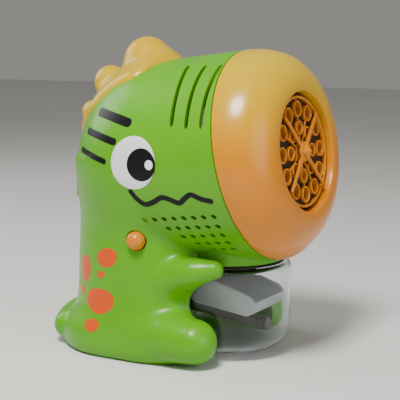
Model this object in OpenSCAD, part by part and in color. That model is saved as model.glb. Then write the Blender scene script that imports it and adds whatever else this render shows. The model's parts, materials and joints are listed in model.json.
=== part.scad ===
/* [Head] */
// Radius of the round head
head_r = 59; // [54:1:64]
// Upward tilt of the head's axis, in degrees
head_tilt = 7; // [4:1:9]
// Distance from the snout's seam back to the centre of the skull
head_len = 57; // [56:1:60]
// How far the seam's centre stands ahead of the tank's axis
seam_ahead = 23; // [20:1:26]
// Height of the seam's centre above the resting plane
seam_z = 114; // [112:1:118]
// Depth of the snout dome
dome_depth = 26; // [24:1:30]
// Wall of the green shells and the dome
wall = 2.4; // [2:0.1:3]

/* [Body] */
// Half width of the body column
body_half_w = 50; // [48:1:52]
// Half width at the foot of the body
foot_half_w = 57; // [54:1:58]
// Distance from the tank's axis back to the body's rear face
body_back = 92; // [91:1:93]
// Distance from the tank's axis back to the rear of the tail
tail_reach = 104; // [102:1:108]
// Thickness of the base plate
base_t = 3; // [2.5:0.5:4]

/* [Tank] */
// Outer radius of the clear tank
tank_r = 35.4; // [34:0.2:35.6]
// Wall of the tank
tank_wall = 1.6; // [1.4:0.1:1.8]
// Gap between the resting plane and the tank
tank_z = 3.5; // [3:0.5:4]
// Height of the tank's shoulder
rim_z = 52.5; // [51.5:0.5:53]

/* [Nozzle] */
// Number of outer bubble rings
outer_rings = 12; // [10:1:12]
// Number of inner bubble rings
inner_rings = 8; // [6:1:8]
// Number of wiper arms
wiper_arms = 4; // [2:1:4]

/* [Gears] */
// Gear module
gear_m = 0.7; // [0.65:0.05:0.7]
// Teeth on the wiper, pump and large reduction gears
big_teeth = 40; // [36:2:40]
// Teeth on the small reduction gear
small_teeth = 12; // [12:1:14]
// Teeth on the motor pinion
pinion_teeth = 10; // [10:1:12]

/* [Hidden] */
$fn = 48;
green = [0.46, 0.72, 0.12];
orange = [0.92, 0.62, 0.2];
yellow = [0.9, 0.78, 0.2];
brown = [0.25, 0.14, 0.06];
cream = [0.9, 0.9, 0.86];
steel = [0.7, 0.7, 0.72];
black = [0.1, 0.1, 0.1];

// The dome's outer profile is a quarter ellipse that springs from the seam
dome_core_r = 36;
dome_bulge = head_r - dome_core_r;
mouth_r = 33;
mouth_depth = 8;
spigot = 3.5;
reach_z = dome_depth * cos(head_tilt);
reach_r = dome_bulge * sin(head_tilt);
front_reach = seam_ahead + dome_core_r * sin(head_tilt) + sqrt(reach_z * reach_z + reach_r * reach_r);
// The origin is halfway between the snout and the tail
tank_y = (front_reach - tail_reach) / 2;
seam_y = tank_y - seam_ahead;
back_y = tank_y + body_back;
skull_y = seam_y + head_len * cos(head_tilt);
skull_z = seam_z - head_len * sin(head_tilt);

skull_fn = 56;

// Body column and feet
corner_r = 48;
foot_back = 8;
flare_top = 28;
column_top = 76;
column_front = tank_y + 24;
bay_r = 37;
collar_h = 16;
collar_z = rim_z + 1.4;
arm_ring = 44;
arm_z = 50;
foot_ring = 45;
foot_z = 14.5;
// The tail curls round the right-hand side: angle from the rear, ball radius, height and how far it swings out
tail_stations = [[0, 12, 16, 0], [22, 12.5, 14, 3], [41, 12, 12, 5.4]];
tail_centre = body_back - corner_r;
tail_ring = tail_reach - tail_centre - tail_stations[0][1];

// Nozzle, measured forward from the seam
nozzle_back = 16.5;
nozzle_front = 22.5;
nozzle_rim_r = 30.8;
ring_r = 4.8;
ring_circle = 23.6;
inner_ring_r = 4.1;
inner_circle = 13.2;
ring_wall = 1.2;
hub_r = 7;
shaft_r = 1.5;
fit = 0.05;

// Gear train: centres in the plane across the head's axis
big_r = gear_m * big_teeth / 2;
small_r = gear_m * small_teeth / 2;
pinion_r = gear_m * pinion_teeth / 2;
compound_at = [0, -(big_r + small_r)];
pump_dir = -110;
motor_dir = -10;
pump_at = compound_at + (big_r + small_r) * [cos(pump_dir), sin(pump_dir)];
motor_at = compound_at + (big_r + pinion_r) * [cos(motor_dir), sin(motor_dir)];
// Planes along the head's axis, measured forward from the seam
plane_1 = -20;
plane_2 = -25;
gear_w = 4;
front_plate = -15;
back_plate = -28;
plate_t = 2;
motor_r = 10.2;
motor_len = 25;
motor_shaft_r = 1;
pump_w = 14;
pump_r = 15;

// Blower, its axis running from side to side
blower_at = [8.6, -60];
blower_r = 20;
blower_half = 10;
impeller_r = 15;
duct_low = 18;
duct_high = 28.6;

// Batteries
cell_r = 7.25;
cell_len = 50.5;
cell_pitch = 15.3;
cell_y = back_y - 18;
cell_z = 36.5;
cell_count = 3;
box_half = 31;
door_half = 27;
door_low = 28.5;
door_high = 76;
door_gap = 0.4;
door_screw_z = cell_z + 1.5 * cell_pitch;

// Shoulder button and rear switch
button_y = tank_y + 31.2;
button_z = 68;
button_r = 5.4;
switch_z = 93;
switch_w = 6;
knob_h = 9;
switch_travel = 4;
switch_turn = 31;
switch_centre = tank_y + 38.3;
switch_reach = 54.2;

// Frame of the head: z runs forward along its axis, y runs up
module in_head() {
    translate([0, seam_y, seam_z]) rotate([90 - head_tilt, 0, 0]) children();
}

// Round skull and barrel of the head, set in by a margin
module head_form(inset) {
    in_head() {
        translate([0, 0, -head_len]) cylinder(h = head_len + 0.01, r = head_r - inset, $fn = skull_fn);
        translate([0, 0, -head_len]) rotate([0, 90, 0]) sphere(r = head_r - inset, $fn = skull_fn);
    }
}

// Rounded rectangle seen from above, open towards the tank
module column_plan(half_w, back, inset) {
    r = corner_r - inset;
    hull() {
        for (s = [-1, 1]) {
            translate([s * (half_w - corner_r), tank_y + back - corner_r]) circle(r = r, $fn = 64);
            translate([s * (half_w - corner_r), column_front + 10]) circle(r = r, $fn = 64);
        }
    }
}

// Body column that stands behind the tank and flares at its foot
module column_form(inset) {
    translate([0, 0, flare_top - 0.01])
        linear_extrude(column_top - flare_top) column_plan(body_half_w, body_back, inset);
    hull() {
        translate([0, 0, column_top - 0.02]) linear_extrude(0.02) column_plan(body_half_w, body_back, inset);
        translate([0, skull_y, skull_z - 6]) cylinder(h = 4, r = head_r - 0.4 - inset, $fn = skull_fn);
    }
    hull() {
        translate([0, 0, base_t]) linear_extrude(2) column_plan(foot_half_w, body_back + foot_back, inset);
        translate([0, 0, flare_top - 0.02]) linear_extrude(0.02) column_plan(body_half_w, body_back, inset);
    }
}

// Point on a ring about the tank's axis: 0 is sideways, positive is forwards
function round_tank(side, ring, angle) = [side * ring * cos(angle), tank_y - ring * sin(angle)];

// One limb: balls along an arc about the tank, joined in pairs
module limb(side, ring, z, stations, inset) {
    for (i = [0 : len(stations) - 2]) {
        hull() {
            for (k = [i, i + 1]) {
                at = round_tank(side, ring, stations[k][0]);
                translate([at[0], at[1], z]) sphere(r = stations[k][1] - inset, $fn = 32);
            }
        }
    }
}

// Angle about the tank and ball radius at each station, from the body to the tip
arm_stations = [[-50, 15], [-14, 13], [9, 9]];
foot_stations = [[-50, 17], [-12, 15.5], [5, 13]];

// Tail, from the middle of the rear to its tip
function tail_at(k) =
    let (angle = tail_stations[k][0])
    let (ring = tail_ring + tail_stations[k][3])
    [-ring * sin(angle), tank_y + tail_centre + ring * cos(angle)];
module tail(inset) {
    for (i = [0 : len(tail_stations) - 2]) hull() {
        for (k = [i, i + 1]) translate(concat(tail_at(k), tail_stations[k][2]))
            rotate([0, 0, 90]) sphere(r = tail_stations[k][1] - inset, $fn = 32);
    }
}

// The whole green body, set in by a margin
module body_form(inset) {
    head_form(inset);
    column_form(inset);
    for (side = [-1, 1]) {
        limb(side, arm_ring, arm_z, arm_stations, inset);
        limb(side, foot_ring, foot_z, foot_stations, inset);
    }
    tail(inset);
}

// Space that the tank and its collar stand in
module tank_bay(grow) {
    translate([0, tank_y, -1]) cylinder(h = collar_z + 1 + grow, r = bay_r + grow, $fn = 64);
}

// Slanted air slots on each side of the head
vent_count = 3;
vent_first = -7;
vent_pitch = 9.8;
vent_low = 19;
vent_arc = 42;
vent_w = 1.8;
module vents() {
    in_head() for (i = [0 : vent_count - 1]) translate([0, 0, vent_first - vent_pitch * i])
        for (start = [vent_low, 180 - vent_low - vent_arc]) rotate([0, 0, start])
            rotate_extrude(angle = vent_arc, $fn = 32)
                translate([head_r - 8, -vent_w / 2]) square([16, vent_w]);
}

// Rows of speaker holes along the jaw: each row is shorter and nearer the chin
grille_rows = [7, 6, 5, 4, 3];
grille_pitch = 6.2;
grille_first = -7.5;
module grille() {
    in_head() for (side = [0, 1]) mirror([side, 0, 0])
        for (row = [0 : len(grille_rows) - 1]) for (i = [0 : grille_rows[row] - 1]) {
            rotate([0, 0, 28 + 6.4 * row]) translate([-head_r, 0, grille_first - grille_pitch * i])
                rotate([0, 90, 0]) cylinder(h = 14, r = 1.15, center = true, $fn = 6);
        }
}

// Screw stations along the shells' middle plane, as [y, z]
screw_at = [
    [tank_y + 6, 160],
    [tank_y + 70, 142],
    [tank_y + 78, 114],
    [tank_y + 66, 14]
];
boss_r = 3.6;
screw_r = 1.25;
head_seat_r = 3;

// One half of the green body: side is -1 for the right half and 1 for the left
module shell_half(side) {
    difference() {
        union() {
            difference() {
                body_form(0);
                difference() {
                    body_form(wall);
                    tank_bay(wall);
                }
                // Mouth of the head, where the dome is fitted
                in_head() cylinder(h = 100, r = head_r + 5);
                in_head() translate([0, 0, -4]) cylinder(h = 5, r = head_r - wall, $fn = 64);
            }
            intersection() {
                body_form(wall / 2);
                for (p = screw_at) {
                    translate([0, p[0], p[1]]) rotate([0, 90, 0])
                        cylinder(h = 2 * head_r, r = boss_r, center = true, $fn = 16);
                }
            }
        }
        tank_bay(0);
        // Throat above the tank, and the floor
        translate([0, tank_y, 0]) cylinder(h = seam_z / 2 + 20, r = collar_r + 0.2, $fn = 64);
        translate([0, 0, base_t - 100]) cube([400, 400, 200], center = true);
        vents();
        grille();
        door_space(door_gap);
        button_space();
        switch_space();
        for (p = screw_at) {
            translate([0, p[0], p[1]]) rotate([0, 90, 0]) {
                cylinder(h = 24, r = screw_r + 0.15, center = true, $fn = 16);
                translate([0, 0, 10]) cylinder(h = head_r, r = head_seat_r, $fn = 16);
            }
        }
        // Keep one side of the middle plane
        translate([-side * 100, 0, 100]) cube([200, 400, 300], center = true);
    }
}

// Opening behind the batteries
module door_space(gap) {
    z_low = door_low - gap;
    translate([-door_half - gap, back_y - 12, z_low])
        cube([2 * (door_half + gap), 30, door_high + gap - z_low]);
}

// Hole for the shoulder button's stem
module button_space() {
    translate([-body_half_w - 8, button_y, button_z]) rotate([0, 90, 0]) cylinder(h = 20, r = button_r + 0.4, $fn = 32);
}

// Frame of the rear switch: y points out of the body, towards its rear right
module at_switch() {
    translate([0, switch_centre, 0]) rotate([0, 0, switch_turn]) children();
}

// Slot for the rear switch's knob
module switch_space() {
    half = (knob_h + switch_travel) / 2 + 0.5;
    at_switch() translate([-switch_w / 2 - 0.4, switch_reach - 12, switch_z - half])
        cube([switch_w + 0.8, 30, 2 * half]);
}

module shell_right() {
    color(green) shell_half(-1);
}

module shell_left() {
    color(green) shell_half(1);
}

// Yellow crest: a band over the skull with three rounded spikes
// Each spike is [angle up from the skull's rear, height, ball radius]
spikes = [[76, 17, 15], [49, 18, 12], [29, 16, 8.5]];
crest_r = 64;
crest_half = 50;
crest_low = 22;
crest_high = 107;
function ray(angle, length) = length * [cos(angle), sin(angle)];
module crest() {
    mid = (crest_low + crest_high) / 2;
    color(yellow) in_head() translate([0, 0, -head_len]) difference() {
        union() {
            // The band stands proud over the middle of the skull and runs out into it at each side
            intersection() {
                scale([crest_half / crest_r, 1, 1]) rotate([0, 90, 0]) sphere(r = crest_r, $fn = 56);
                rotate([0, 90, 0]) linear_extrude(2 * crest_r, center = true)
                    polygon([[0, 0], ray(crest_low, 160), ray(mid, 230), ray(crest_high, 160)]);
            }
            for (s = spikes) rotate([s[0], 0, 0]) hull() {
                translate([0, 0, -head_r + 0.5 * s[2]]) sphere(r = s[2], $fn = 24);
                translate([0, 0, -head_r - s[1] + 0.55 * s[2]]) sphere(r = 0.55 * s[2], $fn = 24);
            }
        }
        rotate([0, 90, 0]) sphere(r = head_r, $fn = 56);
        cylinder(h = 200, r = head_r, $fn = 56);
    }
}

// Snout dome with a recessed mouth for the nozzle
module snout_dome() {
    outer = [for (a = [0 : 6 : 90]) [dome_core_r + dome_bulge * cos(a), dome_depth * sin(a)]];
    inner = [for (a = [90 : -6 : 6]) [
        dome_core_r + (dome_bulge - wall) * cos(a),
        (dome_depth - wall) * sin(a)
    ]];
    color(orange) in_head() rotate_extrude($fn = 96)
        polygon(concat(
            outer,
            [
                [mouth_r + 1, dome_depth],
                [mouth_r, dome_depth - 1],
                [mouth_r, dome_depth - mouth_depth - 1.6],
                [mouth_r + wall, dome_depth - mouth_depth - 1.6],
                [mouth_r + wall, dome_depth - wall]
            ],
            inner,
            [
                [head_r - wall - 2, (dome_depth - wall) * sin(6)],
                [head_r - wall - 2, -spigot],
                [head_r - wall - 0.2, -spigot],
                [head_r - wall - 0.2, 0]
            ]
        ));
}

// Centres of the bubble rings
function on_circle(count, radius, i) = radius * [sin(360 * i / count), cos(360 * i / count)];

// Draws its children at every bubble ring, for the outer and the inner circle
module at_outer_rings() {
    for (i = [0 : outer_rings - 1]) translate(on_circle(outer_rings, ring_circle, i)) children();
}

module at_inner_rings() {
    for (i = [0 : inner_rings - 1]) translate(on_circle(inner_rings, inner_circle, i)) children();
}

// Dark seat behind the nozzle, drilled through behind each ring
module nozzle_seat() {
    color(brown) in_head() difference() {
        union() {
            translate([0, 0, nozzle_back]) cylinder(h = 1.5, r = mouth_r - 0.1, $fn = 96);
            translate([0, 0, nozzle_back]) difference() {
                cylinder(h = 3.5, r = mouth_r - 0.1, $fn = 96);
                translate([0, 0, -1]) cylinder(h = 6, r = nozzle_rim_r + 0.3, $fn = 96);
            }
        }
        translate([0, 0, nozzle_back - 1]) {
            at_outer_rings() cylinder(h = 6, r = ring_r - ring_wall, $fn = 24);
            at_inner_rings() cylinder(h = 6, r = inner_ring_r - ring_wall, $fn = 24);
            cylinder(h = 6, r = shaft_r + fit, $fn = 24);
        }
    }
}

// Orange nozzle: a rim, two circles of rings, and ribs that join them
module nozzle_plate() {
    low = nozzle_back + 1.5;
    tall = nozzle_front - low;
    color(orange) in_head() translate([0, 0, low]) difference() {
        union() {
            difference() {
                cylinder(h = tall, r = nozzle_rim_r, $fn = 96);
                translate([0, 0, -1]) cylinder(h = tall + 2, r = nozzle_rim_r - 1.4, $fn = 96);
            }
            at_outer_rings() cylinder(h = tall, r = ring_r, $fn = 24);
            at_inner_rings() cylinder(h = tall, r = inner_ring_r, $fn = 24);
            cylinder(h = tall - 1, r = hub_r - 1, $fn = 32);
            // Ribs from the hub to the rim, and round each circle of rings
            for (i = [0 : outer_rings - 1]) rotate([0, 0, 90 + 360 * i / outer_rings])
                translate([hub_r - 2, -0.6, 0]) cube([nozzle_rim_r - hub_r + 1.2, 1.2, 2.2]);
            for (c = [ring_circle, inner_circle]) difference() {
                cylinder(h = 2.2, r = c + 0.6, $fn = 64);
                translate([0, 0, -1]) cylinder(h = 5, r = c - 0.6, $fn = 64);
            }
        }
        translate([0, 0, -1]) {
            at_outer_rings() cylinder(h = tall + 2, r = ring_r - ring_wall, $fn = 24);
            at_inner_rings() cylinder(h = tall + 2, r = inner_ring_r - ring_wall, $fn = 24);
            cylinder(h = tall + 2, r = shaft_r + fit, $fn = 24);
        }
    }
}

// Wiper that drags solution over the rings
wiper_low = nozzle_front + 0.5;
module wiper() {
    color(orange) in_head() translate([0, 0, wiper_low]) difference() {
        union() {
            cylinder(h = 1.6, r = 5.4, $fn = 32);
            for (i = [0 : wiper_arms - 1]) rotate([0, 0, 45 + 360 * i / wiper_arms])
                translate([0, -1.1, 0]) cube([28.6, 2.2, 1.2]);
        }
        translate([0, 0, -1]) cylinder(h = 4, r = shaft_r, $fn = 24);
    }
}

// Pointed cap that holds the wiper on its shaft
module hub_cap() {
    color(orange) in_head() translate([0, 0, wiper_low + 1.6]) difference() {
        rotate_extrude($fn = 48) polygon([[0, 0], [4.6, 0], [4.6, 0.8], [3, 2.2], [1.2, 3.2], [0, 3.4]]);
        translate([0, 0, -1]) cylinder(h = 2, r = shaft_r, $fn = 24);
    }
}

module wiper_shaft() {
    color(steel) in_head() translate([0, 0, plane_1 - 0.5])
        cylinder(h = wiper_low + 2.5 - plane_1, r = shaft_r, $fn = 24);
}

// Involute gear outline
pressure = 20;
backlash = 0.24;
function involute(base_r, a) = [
    base_r * (cos(a) + a * PI / 180 * sin(a)),
    base_r * (sin(a) - a * PI / 180 * cos(a))
];
function roll(base_r, r) = r <= base_r ? 0 : sqrt(r * r / (base_r * base_r) - 1) * 180 / PI;
function turned(p, a) = [p[0] * cos(a) - p[1] * sin(a), p[0] * sin(a) + p[1] * cos(a)];
function polar_angle(p) = atan2(p[1], p[0]);

// Half angle of a tooth at a radius
function half_tooth(teeth, r) =
    let (pitch_r = gear_m * teeth / 2)
    let (base_r = pitch_r * cos(pressure))
    let (at_pitch = polar_angle(involute(base_r, roll(base_r, pitch_r))))
    let (here = polar_angle(involute(base_r, roll(base_r, r))))
    90 / teeth - backlash / pitch_r * 90 / PI + at_pitch - here;

function tooth_point(teeth, r, side, i) =
    let (a = 360 * i / teeth + side * half_tooth(teeth, r))
    [r * cos(a), r * sin(a)];

module gear_outline(teeth) {
    pitch_r = gear_m * teeth / 2;
    root = pitch_r - 1.2 * gear_m;
    tip = pitch_r + 0.8 * gear_m;
    mid = pitch_r - 0.4 * gear_m;
    upper = pitch_r + 0.4 * gear_m;
    polygon([for (i = [0 : teeth - 1]) each [
        tooth_point(teeth, root, -1, i),
        tooth_point(teeth, mid, -1, i),
        tooth_point(teeth, pitch_r, -1, i),
        tooth_point(teeth, upper, -1, i),
        tooth_point(teeth, tip, -1, i),
        tooth_point(teeth, tip, 1, i),
        tooth_point(teeth, upper, 1, i),
        tooth_point(teeth, pitch_r, 1, i),
        tooth_point(teeth, mid, 1, i),
        tooth_point(teeth, root, 1, i)
    ]]);
}

// Turn that puts one gear in mesh with another that lies in direction dir
function in_mesh(dir, turn, teeth, next_teeth) = dir + 180 - 180 / next_teeth + (dir - turn) * teeth / next_teeth;

small_turn = in_mesh(-90, 0, big_teeth, small_teeth);
pump_turn = in_mesh(pump_dir, small_turn, small_teeth, big_teeth);
pinion_turn = in_mesh(motor_dir, 0, big_teeth, pinion_teeth);

// Large gear with a web, a boss and a bore
module big_gear(turn, bore, low) {
    translate([0, 0, low]) difference() {
        rotate([0, 0, turn]) linear_extrude(gear_w) gear_outline(big_teeth);
        for (z = [-1, gear_w - 1]) translate([0, 0, z]) difference() {
            cylinder(h = 2, r = big_r - 3);
            translate([0, 0, -1]) cylinder(h = 4, r = 4);
        }
        translate([0, 0, -1]) cylinder(h = gear_w + 2, r = bore, $fn = 24);
    }
}

module wiper_gear() {
    color(cream) in_head() big_gear(0, shaft_r, plane_1);
}

// Reduction gear: large gear in the rear plane, small gear in the front plane
module compound_gear() {
    color(cream) in_head() translate(compound_at) difference() {
        union() {
            big_gear(0, shaft_r / 2, plane_2);
            translate([0, 0, plane_2 + gear_w - 1.1]) cylinder(h = 2.2, r = small_r - 1.2 * gear_m);
            translate([0, 0, plane_1]) rotate([0, 0, small_turn]) linear_extrude(gear_w) gear_outline(small_teeth);
        }
        translate([0, 0, plane_2 - 1]) cylinder(h = 3 * gear_w, r = shaft_r + fit, $fn = 24);
    }
}

module compound_shaft() {
    color(steel) in_head() translate(concat(compound_at, back_plate))
        cylinder(h = front_plate + plate_t - back_plate, r = shaft_r, $fn = 24);
}

// Air chamber between the blower and the nozzle
plenum_back = front_plate + plate_t;
module plenum() {
    color(cream) in_head() difference() {
        translate([0, 0, plenum_back]) cylinder(h = nozzle_back - plenum_back, r = mouth_r - 0.1, $fn = 96);
        translate([0, 0, plenum_back + 2]) cylinder(h = 60, r = mouth_r - 2.1, $fn = 96);
        translate([0, 0, plenum_back - 1]) cylinder(h = 6, r = shaft_r + fit, $fn = 24);
        translate([-blower_half, duct_low, plenum_back - 1]) cube([2 * blower_half, duct_high - duct_low, 4]);
    }
}

// Outline of the gearbox plates
module plate_outline() {
    hull() {
        circle(r = 6);
        translate(pump_at) circle(r = 9);
        translate(motor_at) circle(r = 8);
    }
}

post_at = [[-18.5, -17], [17, -5]];

module gearbox_front() {
    color(cream) in_head() translate([0, 0, front_plate]) difference() {
        union() {
            linear_extrude(plate_t) plate_outline();
            for (p = post_at) translate(p) cylinder(h = plate_t, r = 3.4);
            translate([post_at[0][0], -20, 0]) cube([35, 12, plate_t]);
        }
        translate([0, 0, -1]) cylinder(h = 4, r = shaft_r + fit, $fn = 24);
        translate(concat(compound_at, -1)) cylinder(h = 4, r = shaft_r, $fn = 24);
        translate(concat(pump_at, -1)) cylinder(h = 4, r = shaft_r + fit, $fn = 24);
    }
}

module gearbox_back() {
    color(cream) in_head() translate([0, 0, back_plate]) difference() {
        union() {
            linear_extrude(plate_t) plate_outline();
            translate([post_at[0][0], -20, 0]) cube([35, 15, plate_t]);
            for (p = post_at) translate(p) cylinder(h = front_plate - back_plate, r = 2.2);
            for (p = post_at) translate(p) cylinder(h = plate_t, r = 3.4);
        }
        translate(concat(compound_at, -1)) cylinder(h = 4, r = shaft_r, $fn = 24);
        translate(concat(pump_at, -1)) cylinder(h = 4, r = shaft_r + fit, $fn = 24);
        translate(concat(motor_at, -1)) cylinder(h = 4, r = 3.2, $fn = 24);
    }
}

// Small brushed motor: a can with two flats and a nose
module motor_can() {
    difference() {
        union() {
            intersection() {
                cylinder(h = motor_len, r = motor_r);
                translate([-motor_r, -7.7, 0]) cube([2 * motor_r, 15.4, motor_len]);
            }
            translate([0, 0, motor_len]) cylinder(h = 1.6, r = 3);
        }
        translate([0, 0, 2]) cylinder(h = motor_len + 4, r = motor_shaft_r + fit, $fn = 24);
    }
}

module drive_motor() {
    color(steel) in_head() translate(concat(motor_at, back_plate - motor_len)) motor_can();
}

module drive_motor_shaft() {
    low = back_plate - motor_len + 2.2;
    color(steel) in_head() translate(concat(motor_at, low))
        cylinder(h = plane_2 + gear_w - low, r = motor_shaft_r, $fn = 24);
}

module motor_pinion() {
    color("white") in_head() translate(concat(motor_at, plane_2)) difference() {
        rotate([0, 0, pinion_turn]) linear_extrude(gear_w) gear_outline(pinion_teeth);
        translate([0, 0, -1]) cylinder(h = gear_w + 2, r = motor_shaft_r, $fn = 24);
    }
}

// Pump gear on the spindle that carries the rotor
module pump_gear() {
    color(cream) in_head() translate(pump_at) union() {
        big_gear(pump_turn, shaft_r / 2, plane_1);
        translate([0, 0, back_plate - pump_w + 3]) cylinder(h = front_plate + plate_t - back_plate + pump_w - 3, r = shaft_r, $fn = 24);
    }
}

roller_circle = 6;
roller_r = 2.8;
roller_count = 3;

module pump_rotor() {
    color(orange) in_head() translate(concat(pump_at, back_plate - pump_w + 3)) difference() {
        union() {
            cylinder(h = 1.6, r = 8.4);
            translate([0, 0, 7.8]) cylinder(h = 1.6, r = 8.4);
            cylinder(h = 9.4, r = 2.8);
            for (i = [0 : roller_count - 1]) rotate([0, 0, 360 * i / roller_count])
                translate([roller_circle, 0, 0]) cylinder(h = 9.4, r = 1, $fn = 24);
        }
        translate([0, 0, -1]) cylinder(h = 20, r = shaft_r, $fn = 24);
    }
}

module pump_rollers() {
    color("white") in_head() translate(concat(pump_at, back_plate - pump_w + 4.8))
        for (i = [0 : roller_count - 1]) rotate([0, 0, 360 * i / roller_count])
            translate([roller_circle, 0, 0]) difference() {
                cylinder(h = 5.8, r = roller_r, $fn = 24);
                translate([0, 0, -1]) cylinder(h = 10, r = 1 + fit, $fn = 24);
            }
}

module pump_housing() {
    color(cream) in_head() translate(concat(pump_at, back_plate - pump_w)) difference() {
        cylinder(h = pump_w, r = pump_r);
        translate([0, 0, 1.6]) cylinder(h = pump_w, r = pump_r - 1.6);
        // Way in and out for the tube, at the side
        translate([-pump_r - 5, -pump_r - 5, 4]) cube([10, 2 * pump_r + 10, 7]);
    }
}

tube_r = 1.9;
loop_r = roller_circle + roller_r + 0.3 + tube_r;
tube_w = back_plate - pump_w + 7.7;

// Soft tube squeezed by the rollers, open on the side of the housing's slot
module pump_tube() {
    color("gainsboro") in_head() translate(concat(pump_at, tube_w)) rotate([0, 0, -130])
        rotate_extrude(angle = 260, $fn = 48) translate([loop_r, 0]) circle(r = tube_r, $fn = 16);
}

// Sweeps a round tube along points in space
function unit(v) = v / norm(v);
function heading(path, i) = unit(path[min(i + 1, len(path) - 1)] - path[max(i - 1, 0)]);
function across(dir) = unit(cross(dir, abs(dir[0]) < 0.8 ? [1, 0, 0] : [0, 1, 0]));
function ring_at(path, i, r, sides) =
    let (dir = heading(path, i))
    let (a = across(dir))
    let (b = cross(dir, a))
    [for (k = [0 : sides - 1]) path[i] + r * (cos(360 * k / sides) * a + sin(360 * k / sides) * b)];

module swept_tube(path, r, sides) {
    n = len(path);
    points = [for (i = [0 : n - 1]) each ring_at(path, i, r, sides)];
    walls = [for (i = [0 : n - 2]) for (k = [0 : sides - 1])
        [i * sides + k, i * sides + (k + 1) % sides, (i + 1) * sides + (k + 1) % sides, (i + 1) * sides + k]];
    first = [for (k = [sides - 1 : -1 : 0]) k];
    last = [for (k = [0 : sides - 1]) (n - 1) * sides + k];
    polyhedron(points, concat([first], walls, [last]));
}

// Wire spring of a number of turns between two heights, from one radius to another
module coil(r_from, r_to, z_from, z_to, turns, wire_r) {
    steps = ceil(turns * 12);
    path = [for (i = [0 : steps])
        let (t = i / steps)
        let (r = r_from + (r_to - r_from) * t)
        [r * cos(360 * turns * t), r * sin(360 * turns * t), z_from + (z_to - z_from) * t]
    ];
    swept_tube(path, wire_r, 6);
}

// Solution rises from the pump, round the air chamber and into the mouth, in the head's frame
module feed_tube() {
    span = 30;
    path = [for (i = [0 : span])
        let (t = i / span)
        let (a = 200 - 100 * t)
        [(mouth_r + 4) * cos(a), (mouth_r + 4) * sin(a), -34 + 46 * t]
    ];
    color("gainsboro") in_head() swept_tube(path, 1.9, 10);
}

// Blower casing: a drum and a straight outlet to the air chamber
module blower_scroll() {
    color(cream) in_head() difference() {
        union() {
            translate([-blower_half - 1.6, blower_at[0], blower_at[1]]) rotate([0, 90, 0])
                cylinder(h = 2 * blower_half + 3.2, r = blower_r + 1.6, $fn = 64);
            translate([-blower_half - 1.6, duct_low - 1.6, blower_at[1]])
                cube([2 * blower_half + 3.2, duct_high - duct_low + 2.6, plenum_back - blower_at[1]]);
        }
        translate([-blower_half, blower_at[0], blower_at[1]]) rotate([0, 90, 0])
            cylinder(h = 2 * blower_half, r = blower_r, $fn = 64);
        translate([-blower_half, duct_low, blower_at[1]])
            cube([2 * blower_half, duct_high - duct_low, plenum_back - blower_at[1] + 1]);
        // Air inlet on one side, motor nose on the other
        translate([-blower_half - 3, blower_at[0], blower_at[1]]) rotate([0, 90, 0])
            cylinder(h = 6, r = 10);
        translate([blower_half - 3, blower_at[0], blower_at[1]]) rotate([0, 90, 0])
            cylinder(h = 6, r = 3.2);
    }
}

blade_count = 12;
// Impeller with straight radial blades on a back disc
module fan_impeller() {
    color("white") in_head() translate([-7, blower_at[0], blower_at[1]]) rotate([0, 90, 0]) difference() {
        union() {
            translate([0, 0, 12.4]) cylinder(h = 1.6, r = impeller_r);
            cylinder(h = 14, r = 4);
            for (i = [0 : blade_count - 1]) rotate([0, 0, 360 * i / blade_count])
                translate([7, -0.6, 0]) cube([impeller_r - 7.2, 1.2, 13]);
        }
        translate([0, 0, 1]) cylinder(h = 20, r = motor_shaft_r, $fn = 24);
    }
}

module fan_motor() {
    color(steel) in_head() translate([blower_half + 1.6 + motor_len, blower_at[0], blower_at[1]])
        rotate([0, -90, 0]) motor_can();
}

module fan_motor_shaft() {
    color(steel) in_head() translate([-5, blower_at[0], blower_at[1]]) rotate([0, 90, 0])
        cylinder(h = blower_half + 1.6 + motor_len + 2.8, r = motor_shaft_r, $fn = 24);
}

// Collar that the tank's neck pushes up into and turns in
collar_in = 28.5;
collar_r = 31.5;
neck_r = collar_in - 0.4;
neck_top = rim_z + 4.2;

// Green ring under the chin
module tank_collar() {
    color(green) difference() {
        translate([0, tank_y, collar_z]) cylinder(h = collar_h, r = collar_r, $fn = 96);
        translate([0, tank_y, collar_z - 1]) cylinder(h = collar_h + 2, r = collar_in, $fn = 96);
        // The chin rests on top of it
        in_head() translate([0, 0, -2 * head_len]) cylinder(h = 3 * head_len, r = head_r, $fn = 96);
    }
}

module tank_seal() {
    color(black) translate([0, tank_y, rim_z]) difference() {
        cylinder(h = 1.2, r = collar_r - 0.3, $fn = 96);
        translate([0, 0, -1]) cylinder(h = 4, r = neck_r + 0.1, $fn = 96);
    }
}

// Clear tank with a rounded foot, a shoulder and a neck
foot_round = 12;
module tank() {
    low = tank_z;
    in_r = tank_r - tank_wall;
    color([0.8, 0.9, 0.95, 0.4]) translate([0, tank_y, low]) rotate_extrude($fn = 96) polygon(concat(
        [[0, 0], [tank_r - foot_round, 0]],
        [for (a = [-80 : 10 : 0]) [tank_r - foot_round + foot_round * cos(a), foot_round + foot_round * sin(a)]],
        [
            [tank_r, rim_z - low - 2.6],
            [tank_r - 0.8, rim_z - low - 0.8],
            [tank_r - 2.6, rim_z - low],
            [neck_r, rim_z - low],
            [neck_r, neck_top - low],
            [neck_r - tank_wall, neck_top - low],
            [neck_r - tank_wall, rim_z - low - tank_wall],
            [in_r, rim_z - low - tank_wall]
        ],
        [for (a = [0 : -10 : -80]) [
            tank_r - foot_round + (foot_round - tank_wall) * cos(a),
            foot_round + (foot_round - tank_wall) * sin(a)
        ]],
        [[tank_r - foot_round, tank_wall], [0, tank_wall]]
    ));
}

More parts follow.
